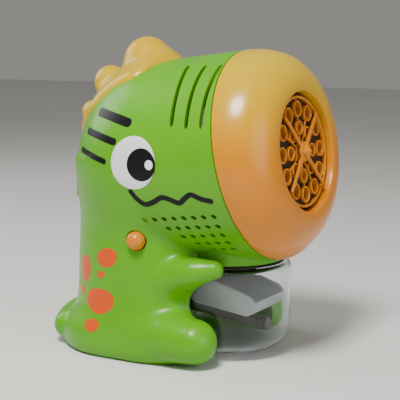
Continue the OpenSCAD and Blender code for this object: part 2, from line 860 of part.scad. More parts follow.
// Sloping tray that returns drips to the tank
module drip_tray() {
    half = 20;
    color([0.75, 0.76, 0.76]) translate([0, tank_y, 0]) difference() {
        hull() {
            translate([0, 14, 42]) rotate([0, 90, 0]) cylinder(h = 2 * half, r = 6, center = true, $fn = 32);
            translate([0, 10, 34]) rotate([0, 90, 0]) cylinder(h = 2 * half, r = 5, center = true, $fn = 32);
            translate([0, -20, 31]) rotate([0, 90, 0]) cylinder(h = 2 * half - 8, r = 6, center = true, $fn = 32);
        }
        // Trough along the top
        translate([0, -2, 45]) rotate([14, 0, 0]) cube([2 * half - 5, 70, 12], center = true);
    }
}

// Arm that reaches the bottom of the tank, ending in a filter
module pickup_arm() {
    color([0.3, 0.28, 0.26]) translate([0, tank_y, 0]) hull() {
        translate([-4, 22, 20]) cube([8, 3, 7]);
        translate([-3, -19, 15]) cube([6, 2, 5.5]);
    }
}

module pickup_filter() {
    color([0.2, 0.22, 0.18]) translate([0, tank_y - 19, 17.5]) rotate([90, 0, 0]) difference() {
        cylinder(h = 6, r = 4, $fn = 32);
        for (i = [0 : 5]) rotate([0, 0, 60 * i]) translate([2.4, 0, 3]) cylinder(h = 4, r = 0.7, $fn = 16);
    }
}

// Tray for the cells, open to the rear
module battery_box() {
    low = cell_z - cell_r - 1.4;
    tall = (cell_count - 1) * cell_pitch + 2 * cell_r + 2.8;
    color([0.3, 0.3, 0.3]) difference() {
        translate([-box_half, cell_y - cell_r - 2.4, low]) cube([2 * box_half, 2 * cell_r, tall]);
        translate([-box_half + 1.6, cell_y - cell_r - 0.6, low + 1]) cube([2 * box_half - 3.2, 40, tall - 2]);
    }
}

module battery_cells() {
    color([0.75, 0.55, 0.25]) for (i = [0 : cell_count - 1]) {
        flip = i % 2 == 0 ? 1 : -1;
        translate([0, cell_y, cell_z + i * cell_pitch]) rotate([0, 90 * flip, 0]) {
            translate([0, 0, -cell_len / 2]) cylinder(h = cell_len - 1.5, r = cell_r);
            translate([0, 0, cell_len / 2 - 1.5]) cylinder(h = 1.5, r = 2.6);
        }
    }
}

// Conical contact springs, one at the flat end of each cell
module battery_springs() {
    color(steel) for (i = [0 : cell_count - 1]) {
        flip = i % 2 == 0 ? 1 : -1;
        translate([-flip * cell_len / 2, cell_y, cell_z + i * cell_pitch]) rotate([0, -90 * flip, 0])
            coil(2.6, 4.6, 0.5, 3.2, 2.5, 0.4);
    }
}

module battery_contacts() {
    color(steel) for (i = [0 : cell_count - 1]) {
        flip = i % 2 == 0 ? 1 : -1;
        x = flip * (cell_len / 2 + 0.6);
        translate([x - 0.5, cell_y - 5, cell_z + i * cell_pitch - 5]) cube([1, 10, 10]);
    }
}

// Rear cover, cut from the same curved wall as the body
module battery_door() {
    color(green) difference() {
        union() {
            intersection() {
                difference() {
                    column_form(0);
                    column_form(wall);
                }
                door_space(0);
            }
            // Finger ridge
            translate([-8, back_y - 0.6, door_high - 6]) cube([16, 1.8, 2]);
        }
        translate([0, back_y - 6, door_screw_z]) rotate([-90, 0, 0]) cylinder(h = 20, r = 1.6, $fn = 24);
    }
}

module door_screw() {
    color(steel) translate([0, back_y - 7, door_screw_z]) rotate([-90, 0, 0]) {
        cylinder(h = 7, r = 1.3, $fn = 24);
        translate([0, 0, 7]) cylinder(h = 1, r = 2.6, $fn = 24);
    }
}

// Flat base that closes the body
module base_plate() {
    color(green) linear_extrude(base_t) difference() {
        union() {
            column_plan(foot_half_w, body_back + foot_back, 0.4);
            for (side = [-1, 1]) for (i = [0 : len(foot_stations) - 2]) hull() {
                for (k = [i, i + 1]) translate(round_tank(side, foot_ring, foot_stations[k][0]))
                    circle(r = foot_stations[k][1] - 4.5);
            }
            for (i = [0 : len(tail_stations) - 2]) hull() {
                for (k = [i, i + 1]) translate(tail_at(k)) circle(r = tail_stations[k][1] - 4.5);
            }
        }
        translate([0, tank_y]) circle(r = bay_r, $fn = 96);
        for (p = base_screw_at) translate(p) circle(r = 1.6, $fn = 24);
    }
}

base_screw_at = [for (side = [-1, 1]) for (y = [tank_y + 34, tank_y + 74]) [side * (y > 20 ? 28 : 40), y]];

module base_screws() {
    color(steel) for (p = base_screw_at) translate(concat(p, 0.4)) {
        cylinder(h = 9, r = 1.4, $fn = 24);
    }
}

// Screws that draw the two shells together, their heads in the left shell
module shell_screws() {
    color(steel) for (p = screw_at) translate([0, p[0], p[1]]) rotate([0, 90, 0]) {
        translate([0, 0, -9]) cylinder(h = 19, r = screw_r - 0.05, $fn = 24);
        translate([0, 0, 10]) cylinder(h = 1.8, r = 2.6, $fn = 24);
    }
}

board_y = tank_y + 56;
module circuit_board() {
    color([0.1, 0.4, 0.2]) translate([-22, board_y, 26]) cube([44, 1.6, 40]);
}

module board_parts() {
    color(black) translate([0, board_y, 0]) {
        translate([-6, -1.6, 42]) cube([12, 1.6, 9]);
        translate([12, -7, 34]) cylinder(h = 9, r = 3);
        translate([12 - 1, -4.2, 34]) cube([2, 4.2, 9]);
        translate([-18, -5, 30]) cube([8, 5, 7]);
        translate([10, -4, 54]) cube([9, 4, 6]);
    }
}

// Loudspeaker behind the right-hand holes, facing outwards and down
speaker_angle = 36;
module at_speaker() {
    in_head() rotate([0, 0, speaker_angle]) translate([-head_r + wall + 3, 0, -26]) rotate([0, 90, 0]) children();
}

module speaker() {
    color([0.2, 0.2, 0.2]) at_speaker() difference() {
        cylinder(h = 4.5, r = 13.5);
        translate([0, 0, -1]) cylinder(h = 3.5, r1 = 12, r2 = 6);
    }
}

module speaker_magnet() {
    color(steel) at_speaker() translate([0, 0, 4.5]) cylinder(h = 4, r = 7);
}

// Round push button at the shoulder: a ball on a stem
button_x = -body_half_w - 0.5;
module shoulder_button() {
    color(orange) translate([button_x, button_y, button_z]) {
        sphere(r = button_r, $fn = 48);
        rotate([0, 90, 0]) cylinder(h = 9.5, r = 3, $fn = 32);
    }
}

button_stop_x = button_x + 12;
module button_spring() {
    color(steel) translate([button_x + 5.6, button_y, button_z]) rotate([0, 90, 0]) {
        coil(4, 4, 0.5, 5.8, 3, 0.4);
    }
}

module button_switch() {
    color(black) translate([button_stop_x, button_y - 6, button_z - 6]) cube([4, 12, 12]);
}

// Sliding knob of the rear power switch
module power_switch() {
    color(green) at_switch() translate([-switch_w / 2, switch_reach - 6, switch_z - knob_h / 2 - switch_travel / 2]) {
        translate([0, 3.2, 0]) cube([switch_w, 5.2, knob_h]);
        translate([1.5, 0, 2.5]) cube([switch_w - 3, 3.4, knob_h - 5]);
    }
}

module power_switch_body() {
    half = (knob_h + switch_travel) / 2 + 2;
    color(steel) at_switch() translate([-5, switch_reach - 12, switch_z - half]) cube([10, 5.6, 2 * half]);
}

// White of each eye, a thin disc that follows the head
eye_r = 14.3;
eye_t = 0.5;
// Same skull as head_form, with its poles out of the eye's way
module eye_form(inset) {
    in_head() translate([0, 0, -head_len]) {
        cylinder(h = head_len, r = head_r - inset, $fn = skull_fn);
        sphere(r = head_r - inset, $fn = skull_fn);
    }
}

module eye(side) {
    color("white") intersection() {
        difference() {
            eye_form(-eye_t);
            eye_form(0);
        }
        translate([side * head_r, tank_y + 27.4, seam_z - 2]) rotate([0, 90, 0])
            cylinder(h = 40, r = eye_r, center = true, $fn = 48);
    }
}

module eye_right() {
    eye(-1);
}

module eye_left() {
    eye(1);
}

shell_right();
shell_left();
crest();
snout_dome();
nozzle_seat();
nozzle_plate();
wiper();
hub_cap();
wiper_shaft();
wiper_gear();
plenum();
gearbox_front();
gearbox_back();
compound_gear();
compound_shaft();
drive_motor();
drive_motor_shaft();
motor_pinion();
pump_gear();
pump_rotor();
pump_rollers();
pump_housing();
pump_tube();
feed_tube();
blower_scroll();
fan_impeller();
fan_motor();
fan_motor_shaft();
tank_collar();
tank_seal();
tank();
drip_tray();
pickup_arm();
pickup_filter();
battery_box();
battery_cells();
battery_springs();
battery_contacts();
battery_door();
door_screw();
base_plate();
base_screws();
shell_screws();
circuit_board();
board_parts();
speaker();
speaker_magnet();
shoulder_button();
button_spring();
button_switch();
power_switch();
power_switch_body();
eye_right();
eye_left();
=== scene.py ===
import json
import math
import bmesh
import bpy
import numpy as np
from mathutils import Matrix, Vector


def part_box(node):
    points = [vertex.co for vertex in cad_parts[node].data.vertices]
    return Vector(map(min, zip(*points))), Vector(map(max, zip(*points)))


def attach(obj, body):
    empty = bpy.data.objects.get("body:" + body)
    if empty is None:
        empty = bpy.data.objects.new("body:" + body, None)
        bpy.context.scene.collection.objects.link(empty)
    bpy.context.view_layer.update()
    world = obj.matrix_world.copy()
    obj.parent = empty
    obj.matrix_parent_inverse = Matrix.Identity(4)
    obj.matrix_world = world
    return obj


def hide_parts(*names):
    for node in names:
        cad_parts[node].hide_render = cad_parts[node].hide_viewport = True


# A toy dinosaur that blows bubbles. Its head is a round bar along a tilted axis, its belly an
# upright column, and a clear tank stands between its feet.
# Lengths are in millimetres until a mesh is made.
MM = 0.001
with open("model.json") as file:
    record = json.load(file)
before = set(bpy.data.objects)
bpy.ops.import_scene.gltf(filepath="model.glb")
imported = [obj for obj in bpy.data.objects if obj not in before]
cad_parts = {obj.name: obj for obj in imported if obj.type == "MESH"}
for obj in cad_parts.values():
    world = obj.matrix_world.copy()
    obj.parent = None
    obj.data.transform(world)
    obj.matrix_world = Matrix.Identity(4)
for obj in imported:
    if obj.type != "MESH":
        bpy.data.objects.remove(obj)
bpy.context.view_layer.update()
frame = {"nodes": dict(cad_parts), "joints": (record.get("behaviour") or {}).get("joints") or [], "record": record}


# ---------------- places from the frame

def low(node):
    """Lowest corner of a CAD node, in millimetres."""
    return np.array(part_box(node)[0]) / MM


def high(node):
    """Highest corner of a CAD node, in millimetres."""
    return np.array(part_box(node)[1]) / MM


def span(node, axis):
    """Size of a CAD node along an axis."""
    return high(node)[axis] - low(node)[axis]


def joint(name):
    return next(j for j in frame["joints"] if j["name"] == name)


X, Y, Z = 0, 1, 2

# Axes of the head: the animal's left, ahead along the snout, and up
SIDE = np.array([1.0, 0.0, 0.0])
AHEAD = np.array(joint("wiper_spin")["axis"])
UP = np.array([0.0, AHEAD[2], -AHEAD[1]])
SEAM = np.array(joint("wiper_spin")["pos_m"]) / MM
HEAD_R = high("snout_dome")[X]
# Centre of the round back of the head
SKULL = SEAM - 57.0 * AHEAD
TANK_Y = (low("tank")[Y] + high("tank")[Y]) / 2
TANK_R = span("tank", X) / 2
TANK_Z = low("tank")[Z]
NECK_TOP = high("tank")[Z]
RIM_Z = low("tank_seal")[Z]
COLLAR_Z = low("tank_collar")[Z]
COLLAR_R = span("tank_collar", X) / 2
BACK_Y = joint("door_open")["pos_m"][Y] / MM
BASE_T = high("base_plate")[Z]
# Wall of the shells, and radius of the bay that the tank stands in
WALL = 2.4
BAY_R = TANK_R + 1.6

# Head's own space: x to the side, y up, z ahead of the seam between the shells and the dome
HEAD = Matrix([(SIDE[i], UP[i], AHEAD[i], SEAM[i]) for i in range(3)] + [(0, 0, 0, 1)])


def moved(x=0.0, y=0.0, z=0.0, turn=0.0, axis="Z"):
    """Place at (x, y, z), turned about an axis by an angle in degrees."""
    return Matrix.Translation((x, y, z)) @ Matrix.Rotation(math.radians(turn), 4, axis)


def sideways(y, z):
    """Place whose z axis points to the animal's left."""
    return moved(0, y, z, 90, "Y")


TANK_AXIS = moved(y=TANK_Y)


# ---------------- the body as a distance field

# Plan of the column: half width and corner radius
HALF_W = 50.0
CORNER = 48.0
# Outward growth towards the floor, the height where it starts and the height where it is full
SPREAD, SPREAD_TOP, SPREAD_FULL = 3.5, 95.0, 35.0
FLARE, FLARE_TOP, FLARE_FULL = 4.5, 42.0, 8.0
REAR_FLARE, REAR_TOP, REAR_FULL = 7.5, 28.0, 10.0
COLUMN_FRONT = TANK_Y + 43
REAR_CENTRE = BACK_Y - CORNER
SEAM_LEAN = math.tan(math.radians(5))


def smooth_min(a, b, k):
    """Union of two fields with a fillet about k wide."""
    h = np.maximum(k - np.abs(a - b), 0) / k
    return np.minimum(a, b) - h * h * k / 4


def ease(x):
    x = np.clip(x, 0, 1)
    return x * x * (3 - 2 * x)


def smooth_max(a, b, k):
    return -smooth_min(-a, -b, k)


def capsule(p, a, b, ra, rb):
    ab = b - a
    t = np.clip((p - a) @ ab / (ab @ ab), 0, 1)
    return np.linalg.norm(p - a - t[:, None] * ab, axis=1) - (ra + (rb - ra) * t)


def arc_limb(p, centre, angles, rings, radii, heights):
    """Round limb along an arc about an upright axis.
    The angles run anticlockwise from +X, in degrees; radii are the limb's, rings the arc's."""
    x = p[:, 0] - centre[0]
    y = p[:, 1] - centre[1]
    mid = (angles[0] + angles[-1]) / 2
    a = (np.degrees(np.arctan2(y, x)) - mid + 180) % 360 - 180 + mid
    a = np.clip(a, angles[0], angles[-1])
    ring = np.interp(a, angles, rings)
    r = np.interp(a, angles, radii)
    z = np.interp(a, angles, heights)
    t = np.radians(a)
    across = (x - ring * np.cos(t)) ** 2 + (y - ring * np.sin(t)) ** 2
    return np.sqrt(across + (p[:, 2] - z) ** 2) - r


def column(p):
    z = p[:, 2]
    wide = FLARE * ease((FLARE_TOP - z) / (FLARE_TOP - FLARE_FULL))
    wide = wide + SPREAD * ease((SPREAD_TOP - z) / (SPREAD_TOP - SPREAD_FULL))
    # The rear stays upright beside the cover and flares only below it
    rear = REAR_FLARE * ease((REAR_TOP - z) / (REAR_TOP - REAR_FULL))
    corner = CORNER - 0.4 * rear
    middle = (REAR_CENTRE + COLUMN_FRONT) / 2
    qx = np.abs(p[:, 0]) - (HALF_W - corner + wide)
    qy = np.abs(p[:, 1] - middle) - ((REAR_CENTRE - COLUMN_FRONT) / 2 + CORNER - corner + rear)
    outside = np.hypot(np.maximum(qx, 0), np.maximum(qy, 0))
    plan = outside + np.minimum(np.maximum(qx, qy), 0) - corner
    return np.maximum(plan * 0.97, z - SKULL[2])


def body(p):
    """Distance to the outside of the green body."""
    # The neck blends softly at the back and keeps a crisp line under the jaw
    blend = 2.5 + 7 * ease((p[:, 1] + 8) / 16)
    d = smooth_min(capsule(p, SKULL, SEAM + 70 * AHEAD, HEAD_R, HEAD_R), column(p), blend)
    q = p.copy()
    q[:, 0] = np.abs(q[:, 0])
    tank = (0.0, TANK_Y)
    arm = arc_limb(
        q, tank, [-16, 0, 20, 50],
        rings=[38.5, 39.5, 40, 40], radii=[5.2, 8.6, 10.8, 11], heights=[53.5, 51, 48.5, 48]
    )
    d = smooth_min(d, arm, 4 + 6 * ease((56 - p[:, 2]) / 12))
    foot = arc_limb(
        q, tank, [-3, 14, 50],
        rings=[45, 45, 45], radii=[13, 15, 16], heights=[13.5, 14, 14.5]
    )
    d = smooth_min(d, foot, 5)
    tail = arc_limb(
        p, (0.0, REAR_CENTRE), [90, 112, 130],
        rings=[50.5, 55, 58], radii=[10, 9.2, 8.4], heights=[13, 11.5, 10.5]
    )
    d = smooth_min(d, tail, 3)
    # The foot of the body rounds under
    return smooth_max(d, -p[:, 2] - 1.5, 9)


def unit(v):
    return v / np.linalg.norm(v, axis=1)[:, None]


def gradient(field, p):
    nudge = 0.05
    g = np.empty_like(p)
    for i in range(3):
        s = np.zeros(3)
        s[i] = nudge
        g[:, i] = (field(p + s) - field(p - s)) / (2 * nudge)
    return g


def settle(field, p, rounds=3):
    """Moves points onto the field's zero surface."""
    for _ in range(rounds):
        g = gradient(field, p)
        p = p - g * (field(p) / np.maximum((g * g).sum(1), 0.05))[:, None]
    return p


def surface(field, lo, hi, step):
    """Closed quad mesh of a field's zero surface, one vertex in each cell that it crosses."""
    n = np.ceil((np.array(hi) - lo) / step).astype(int) + 1
    axes = [lo[i] + step * np.arange(n[i]) for i in range(3)]
    grid = np.stack(np.meshgrid(*axes, indexing="ij"), -1)
    v = field(grid.reshape(-1, 3)).reshape(n)
    inside = v < 0
    count = np.zeros(n - 1, int)
    spot = np.zeros(tuple(n - 1) + (3,))
    hits = np.zeros(n - 1)

    def window(corner):
        return tuple(slice(c, c + n[i] - 1) for i, c in enumerate(corner))

    # Each cell's point is the mean of the places where the surface crosses its edges
    for corner in np.ndindex(2, 2, 2):
        here = window(corner)
        count += inside[here]
        for axis in range(3):
            if corner[axis]:
                continue
            there = window([1 if i == axis else c for i, c in enumerate(corner)])
            crosses = inside[here] != inside[there]
            gap = v[here] - v[there]
            t = np.where(crosses, v[here] / np.where(gap == 0, 1, gap), 0)
            place = np.zeros_like(spot) + np.array(corner, float)
            place[..., axis] += t
            spot += np.where(crosses[..., None], place, 0)
            hits += crosses
    active = (count > 0) & (count < 8)
    index = -np.ones(n - 1, int)
    index[active] = np.arange(active.sum())
    cells = np.argwhere(active)
    points = lo + step * (cells + spot[active] / hits[active][:, None])
    # Each grid edge that the surface crosses gives a quad between the four cells round it
    faces = []
    for axis in range(3):
        others = [(axis + 1) % 3, (axis + 2) % 3]
        near = tuple(slice(0, n[i] - 1) if i == axis else slice(1, n[i] - 1) for i in range(3))
        far = tuple(slice(1, n[i]) if i == axis else slice(1, n[i] - 1) for i in range(3))
        for rising in (True, False):
            leaves = inside[near] & ~inside[far] if rising else ~inside[near] & inside[far]
            e = np.argwhere(leaves)
            e[:, others] += 1
            ring = []
            for da, db in ((1, 1), (0, 1), (0, 0), (1, 0)):
                c = e.copy()
                c[:, others[0]] -= da
                c[:, others[1]] -= db
                ring.append(index[c[:, 0], c[:, 1], c[:, 2]])
            faces.append(np.stack(ring if rising else ring[::-1], 1))
    return points, np.concatenate(faces)


# ---------------- meshes

def placed(name, data):
    """Object in the scene for a mesh, a camera or a light."""
    o = bpy.data.objects.new(name, data)
    bpy.context.scene.collection.objects.link(o)
    return o


def make(name, points, faces):
    """Object from points in millimetres and faces."""
    mesh = bpy.data.meshes.new(name)
    points = np.asarray(points, float) * MM
    mesh.from_pydata(points.tolist(), [], [list(map(int, f)) for f in faces])
    mesh.update()
    return placed(name, mesh)


def applied(o):
    """Bakes an object's modifiers into its mesh."""
    bpy.context.view_layer.update()
    seen = o.evaluated_get(bpy.context.evaluated_depsgraph_get())
    mesh = bpy.data.meshes.new_from_object(seen)
    o.modifiers.clear()
    o.data = mesh
    return o


def carve(o, *tools, how="DIFFERENCE"):
    """Cuts the tools from an object, or adds or intersects them, and removes them."""
    for tool in tools:
        m = o.modifiers.new("cut", "BOOLEAN")
        m.operation = how
        m.solver = "MANIFOLD"
        m.object = tool
    applied(o)
    for tool in tools:
        bpy.data.objects.remove(tool)
    return o


def smooth(o, degrees=35):
    """Smooth shading, with edges sharper than the angle kept crisp."""
    for face in o.data.polygons:
        face.use_smooth = True
    o.data.set_sharp_from_angle(angle=math.radians(degrees))
    return o


def at(matrix, points):
    """Points moved by a matrix."""
    m = np.array(matrix)
    return np.asarray(points, float) @ m[:3, :3].T + m[:3, 3]


def lathe(name, profile, matrix=Matrix(), segments=96):
    """Turns a closed outline of (radius, height) points about the z axis.
    Points on the axis close it."""
    points, faces, rows = [], [], []
    for r, z in profile:
        if r < 1e-6:
            rows.append([len(points)] * segments)
            points.append((0, 0, z))
        else:
            rows.append(list(range(len(points), len(points) + segments)))
            for k in range(segments):
                a = 2 * math.pi * k / segments
                points.append((r * math.cos(a), r * math.sin(a), z))
    for i in range(len(rows)):
        a, b = rows[i], rows[(i + 1) % len(rows)]
        for k in range(segments):
            ring = [a[k], a[(k + 1) % segments], b[(k + 1) % segments], b[k]]
            ring = [v for j, v in enumerate(ring) if v != ring[j - 1]]
            if len(set(ring)) > 2:
                faces.append(ring)
    return outward(make(name, at(matrix, points), faces))


def outward(o):
    """Turns every face outward."""
    bm = bmesh.new()
    bm.from_mesh(o.data)
    bmesh.ops.recalc_face_normals(bm, faces=bm.faces)
    bm.to_mesh(o.data)
    bm.free()
    return o


def band(n):
    """Quads between two rings of n points, the second of which follows the first."""
    return [[i, (i + 1) % n, n + (i + 1) % n, n + i] for i in range(n)]


def capped(name, points, matrix):
    """Solid between two outlines with as many points, the first below the second."""
    n = len(points) // 2
    faces = [list(range(n))[::-1], list(range(n, 2 * n))] + band(n)
    return outward(make(name, at(matrix, points), faces))


def prism(name, outline, bottom, top, matrix=Matrix()):
    """Outline in the xy plane drawn out from bottom to top."""
    return capped(name, [(x, y, z) for z in (bottom, top) for x, y in outline], matrix)


def rectangle(lo, hi):
    return [(lo[0], lo[1]), (hi[0], lo[1]), (hi[0], hi[1]), (lo[0], hi[1])]


def block(name, lo, hi, matrix=Matrix(), edge=0.0, segments=3):
    """Box with bevelled edges where an edge width is given."""
    o = prism(name, rectangle(lo, hi), lo[2], hi[2], matrix)
    if edge:
        bevel(o, edge, segments)
    return o


def bevel(o, width, segments=3, degrees=30):
    m = o.modifiers.new("edge", "BEVEL")
    m.width = width * MM
    m.segments = segments
    m.limit_method = "ANGLE"
    m.angle_limit = math.radians(degrees)
    return smooth(applied(o))


def circle(r, count, centre=(0, 0)):
    turn = [2 * math.pi * k / count for k in range(count)]
    return [(centre[0] + r * math.cos(a), centre[1] + r * math.sin(a)) for a in turn]


def arc(x, y, r, start, stop, count, r_y=None):
    """Points along an arc about (x, y), angles in degrees; r_y makes it an oval's."""
    turn = [math.radians(a) for a in np.linspace(start, stop, count)]
    return [(x + r * math.cos(a), y + (r_y or r) * math.sin(a)) for a in turn]


def joined(name, pieces):
    """One object from several closed pieces."""
    bm = bmesh.new()
    for o in pieces:
        bm.from_mesh(o.data)
    mesh = bpy.data.meshes.new(name)
    bm.to_mesh(mesh)
    bm.free()
    for o in pieces:
        bpy.data.objects.remove(o)
    return placed(name, mesh)


def rounded(points, r, steps=4):
    """Rounds the corners of a closed outline."""
    out = []
    n = len(points)
    for i, b in enumerate(points):
        a, c = np.array(points[i - 1]), np.array(points[(i + 1) % n])
        b = np.array(b)
        ra = min(r, np.linalg.norm(a - b) / 2.2)
        rc = min(r, np.linalg.norm(c - b) / 2.2)
        s = b + (a - b) / np.linalg.norm(a - b) * ra
        e = b + (c - b) / np.linalg.norm(c - b) * rc
        for k in range(steps + 1):
            t = k / steps
            out.append(tuple((1 - t) ** 2 * s + 2 * t * (1 - t) * b + t * t * e))
    return out


# ---------------- materials

def nodes_of(name):
    """New material with its node tree and its shader."""
    m = bpy.data.materials.new(name)
    m.use_nodes = True
    return m, m.node_tree, m.node_tree.nodes["Principled BSDF"]


def put(t, node, values):
    """Sets a node's sockets; a value that is another node's socket is linked."""
    for name, value in values.items():
        if isinstance(value, bpy.types.NodeSocket):
            t.links.new(value, node.inputs[name])
        else:
            node.inputs[name].default_value = value
    return node


def own_space(t):
    """The object's own coordinates, in metres."""
    return t.nodes.new("ShaderNodeTexCoord").outputs["Object"]


def noise(t, scale, detail=3.0, rough=0.55):
    n = t.nodes.new("ShaderNodeTexNoise")
    put(t, n, {"Scale": scale, "Detail": detail, "Roughness": rough, "Vector": own_space(t)})
    return n.outputs["Fac"]


def ramp(t, source, stops):
    """Colour ramp; a stop is a place and a grey level or a colour."""
    r = put(t, t.nodes.new("ShaderNodeValToRGB"), {"Fac": source})
    e = r.color_ramp.elements
    while len(e) < len(stops):
        e.new(0.5)
    for k, (place, value) in enumerate(stops):
        e[k].position = place
        e[k].color = (*value, 1) if isinstance(value, tuple) else (value, value, value, 1)
    return r.outputs["Color"]


def mixed(t, factor, a, b, blend="MIX"):
    m = t.nodes.new("ShaderNodeMix")
    m.data_type = "RGBA"
    m.blend_type = blend
    a, b = ((*v, 1) if isinstance(v, tuple) else v for v in (a, b))
    return put(t, m, {"Factor": factor, 6: a, 7: b}).outputs[2]


def scaled(color, k):
    return tuple(min(1.0, c * k) for c in color)


def gloss(t, shader, scale, detail, rough, *stops):
    """Roughness that wanders between two values."""
    put(t, shader, {"Roughness": ramp(t, noise(t, scale, detail, rough), stops)})


def grain_bump(t, shader, scale, detail, strength, distance):
    bump = t.nodes.new("ShaderNodeBump")
    put(t, bump, {"Strength": strength, "Distance": distance, "Height": noise(t, scale, detail)})
    put(t, shader, {"Normal": bump.outputs["Normal"]})


def plastic(name, color, rough=0.3, coat=0.25, grain=0.03, top=None, shine=0.28):
    """Moulded plastic: faint flow marks, a fine moulded grain, uneven gloss and paler rubbed edges.
    top is a second colour and the two heights between which the plastic shades into it; on the dome this is a
    painted highlight, lighter and yellower towards the top."""
    m, t, shader = nodes_of(name)
    base = color
    if top:
        # Colour shaded into the top colour with height in the object's own space; on the dome this is a painted
        # highlight.
        split = put(t, t.nodes.new("ShaderNodeSeparateXYZ"), {0: own_space(t)})
        spread = t.nodes.new("ShaderNodeMapRange")
        spread.interpolation_type = "SMOOTHSTEP"
        low_end, high_end = top[1] * MM, top[2] * MM
        put(t, spread, {"Value": split.outputs["Z"], "From Min": low_end, "From Max": high_end})
        base = mixed(t, spread.outputs["Result"], color, top[0])
    flow = ramp(t, noise(t, 28, 4), [(0.3, 0.0), (0.75, 1.0)])
    dark = mixed(t, 1.0, base, (0.90, 0.91, 0.88), "MULTIPLY")
    tone = mixed(t, flow, dark, base)
    geometry = t.nodes.new("ShaderNodeNewGeometry")
    edge = ramp(t, geometry.outputs["Pointiness"], [(0.54, 0.0), (0.62, 0.35)])
    scuff = ramp(t, noise(t, 260, 5, 0.7), [(0.5, 0.0), (0.72, 1.0)])
    rub = mixed(t, 1.0, edge, scuff, "MULTIPLY")
    put(t, shader, {
        "Base Color": mixed(t, rub, tone, scaled(color, 1.5)),
        "Coat Weight": coat, "Coat Roughness": 0.12, "Specular IOR Level": shine
    })
    gloss(t, shader, 60, 5, 0.6, (0.3, rough * 0.86), (0.8, rough * 1.2))
    grain_bump(t, shader, 900, 2, grain, 0.0004)
    return m


def metal(name, color, rough=0.3):
    """Plated metal with uneven tone and gloss."""
    m, t, shader = nodes_of(name)
    tone = ramp(t, noise(t, 120, 5), [(0.3, scaled(color, 0.8)), (0.8, color)])
    put(t, shader, {"Metallic": 1.0, "Base Color": tone})
    gloss(t, shader, 300, 6, 0.7, (0.25, rough * 0.6), (0.8, rough * 1.5))
    grain_bump(t, shader, 700, 3, 0.1, 0.0003)
    return m


def clear(name):
    """Clear moulded plastic with faint water marks."""
    m, t, shader = nodes_of(name)
    put(t, shader, {"Base Color": (0.93, 0.97, 0.98, 1), "Transmission Weight": 1.0, "IOR": 1.3})
    gloss(t, shader, 45, 5, 0.55, (0.4, 0.02), (0.8, 0.07))
    grain_bump(t, shader, 60, 2, 0.05, 0.0005)
    return m


GREEN = (0.095, 0.36, 0.0)
ORANGE = (0.62, 0.20, 0.0)
YELLOW = (0.60, 0.41, 0.0)

# Looks of the material slots: colour, roughness, coat and depth of grain
PLASTICS = {
    "green_plastic": (GREEN, 0.34, 0.12),
    "yellow_plastic": ((0.72, 0.40, 0.01), 0.32, 0.25),
    "orange_plastic": (ORANGE, 0.3, 0.3),
    "brown_plastic": ((0.022, 0.009, 0.003), 0.5, 0.0),
    "white_plastic": ((0.78, 0.77, 0.72), 0.4, 0.1),
    "grey_plastic": ((0.52, 0.53, 0.53), 0.4, 0.1),
    "dark_plastic": ((0.07, 0.062, 0.055), 0.4, 0.1),
    "eye_white": ((0.78, 0.78, 0.82), 0.25, 0.4, 0.01),
    "soft_tube": ((0.75, 0.76, 0.74), 0.35, 0.2),
    "black_rubber": ((0.015, 0.015, 0.016), 0.55, 0.0, 0.1),
    "cell_wrap": ((0.5, 0.26, 0.06), 0.25, 0.5),
    "board_green": ((0.03, 0.2, 0.07), 0.4, 0.3),
}
materials = {name: plastic(name, *look) for name, look in PLASTICS.items()}
materials["steel"] = metal("steel", (0.62, 0.62, 0.64))
materials["clear_plastic"] = clear("clear_plastic")
# The dome and the crest shade from one colour into another, as the photo shows
# The dome's yellow upper part is a painted highlight, paler and yellower where the light falls from above; the
# crest turns a little more orange towards its top.
dome_orange = plastic(
    "dome_orange", ORANGE, 0.27, 0.2,
    top=(YELLOW, SEAM[2] - 12, SEAM[2] + 62)
)
crest_yellow = plastic(
    "crest_yellow", (0.56, 0.38, 0.0), 0.3, 0.2,
    top=((0.58, 0.36, 0.0), 135, 178)
)
print_black = plastic("print_black", (0.008, 0.008, 0.009), 0.35, 0.0, 0.01, shine=0.15)
print_red = plastic("print_red", (0.66, 0.075, 0.006), 0.35, 0.05, 0.01, shine=0.25)
print_white = plastic("print_white", (0.85, 0.85, 0.88), 0.25, 0.3, 0.01)


def piece(o, body_name, slot, stands_for=(), material=None):
    """Gives a mesh its material, which is the slot's unless one is given, and its moving body, and hides the CAD
    nodes it stands for.
    """
    o.data.materials.clear()
    o.data.materials.append(material or materials[slot])
    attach(o, body_name)
    if stands_for:
        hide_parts(*stands_for)
    return o


# ---------------- green shells

MARGIN = 6.0
BOX_LO = np.array([-HEAD_R, SEAM[Y] - 40, 0]) - MARGIN
BOX_HI = np.array([HEAD_R, BACK_Y + 12, SEAM[Z] + HEAD_R]) + MARGIN
GRID = 1.5
# The door's skin is thinner than the coarse grid, so its own grid stays fine
DOOR_GRID = 1.2

# Play round what fits into the shells
GAP = 0.4
DOOR_HALF = span("battery_door", X) / 2
DOOR_LOW = low("battery_door")[Z]
DOOR_HIGH = high("battery_door")[Z]
DOOR_SCREW_Z = (low("door_screw")[Z] + high("door_screw")[Z]) / 2
BUTTON = (low("shoulder_button") + high("shoulder_button")) / 2
BUTTON_R = span("shoulder_button", Y) / 2
BUTTON_X = low("shoulder_button")[X] + BUTTON_R
# The switch's own space: y outward from the curved flank
SWITCH = moved(y=TANK_Y + 38.3, turn=31)
SWITCH_REACH = 54.2
KNOB_LOW = low("power_switch")[Z]
KNOB_HIGH = high("power_switch")[Z]
KNOB_W = 6.0
TRAVEL = joint("switch_slide")["range_m"][1] / MM

# Vents: pitch, first place and half width along the head, then for each its first and last angle
# above the side and the shifts of its two ends along the head
VENT_PITCH, VENT_FIRST, VENT_HALF = 9.8, -7.0, 1.2
VENTS = [(18.5, 60.5, -0.6, 0.7), (19.2, 62.0, 0.0, 0.0), (21.0, 64.5, 0.6, -2.4)]
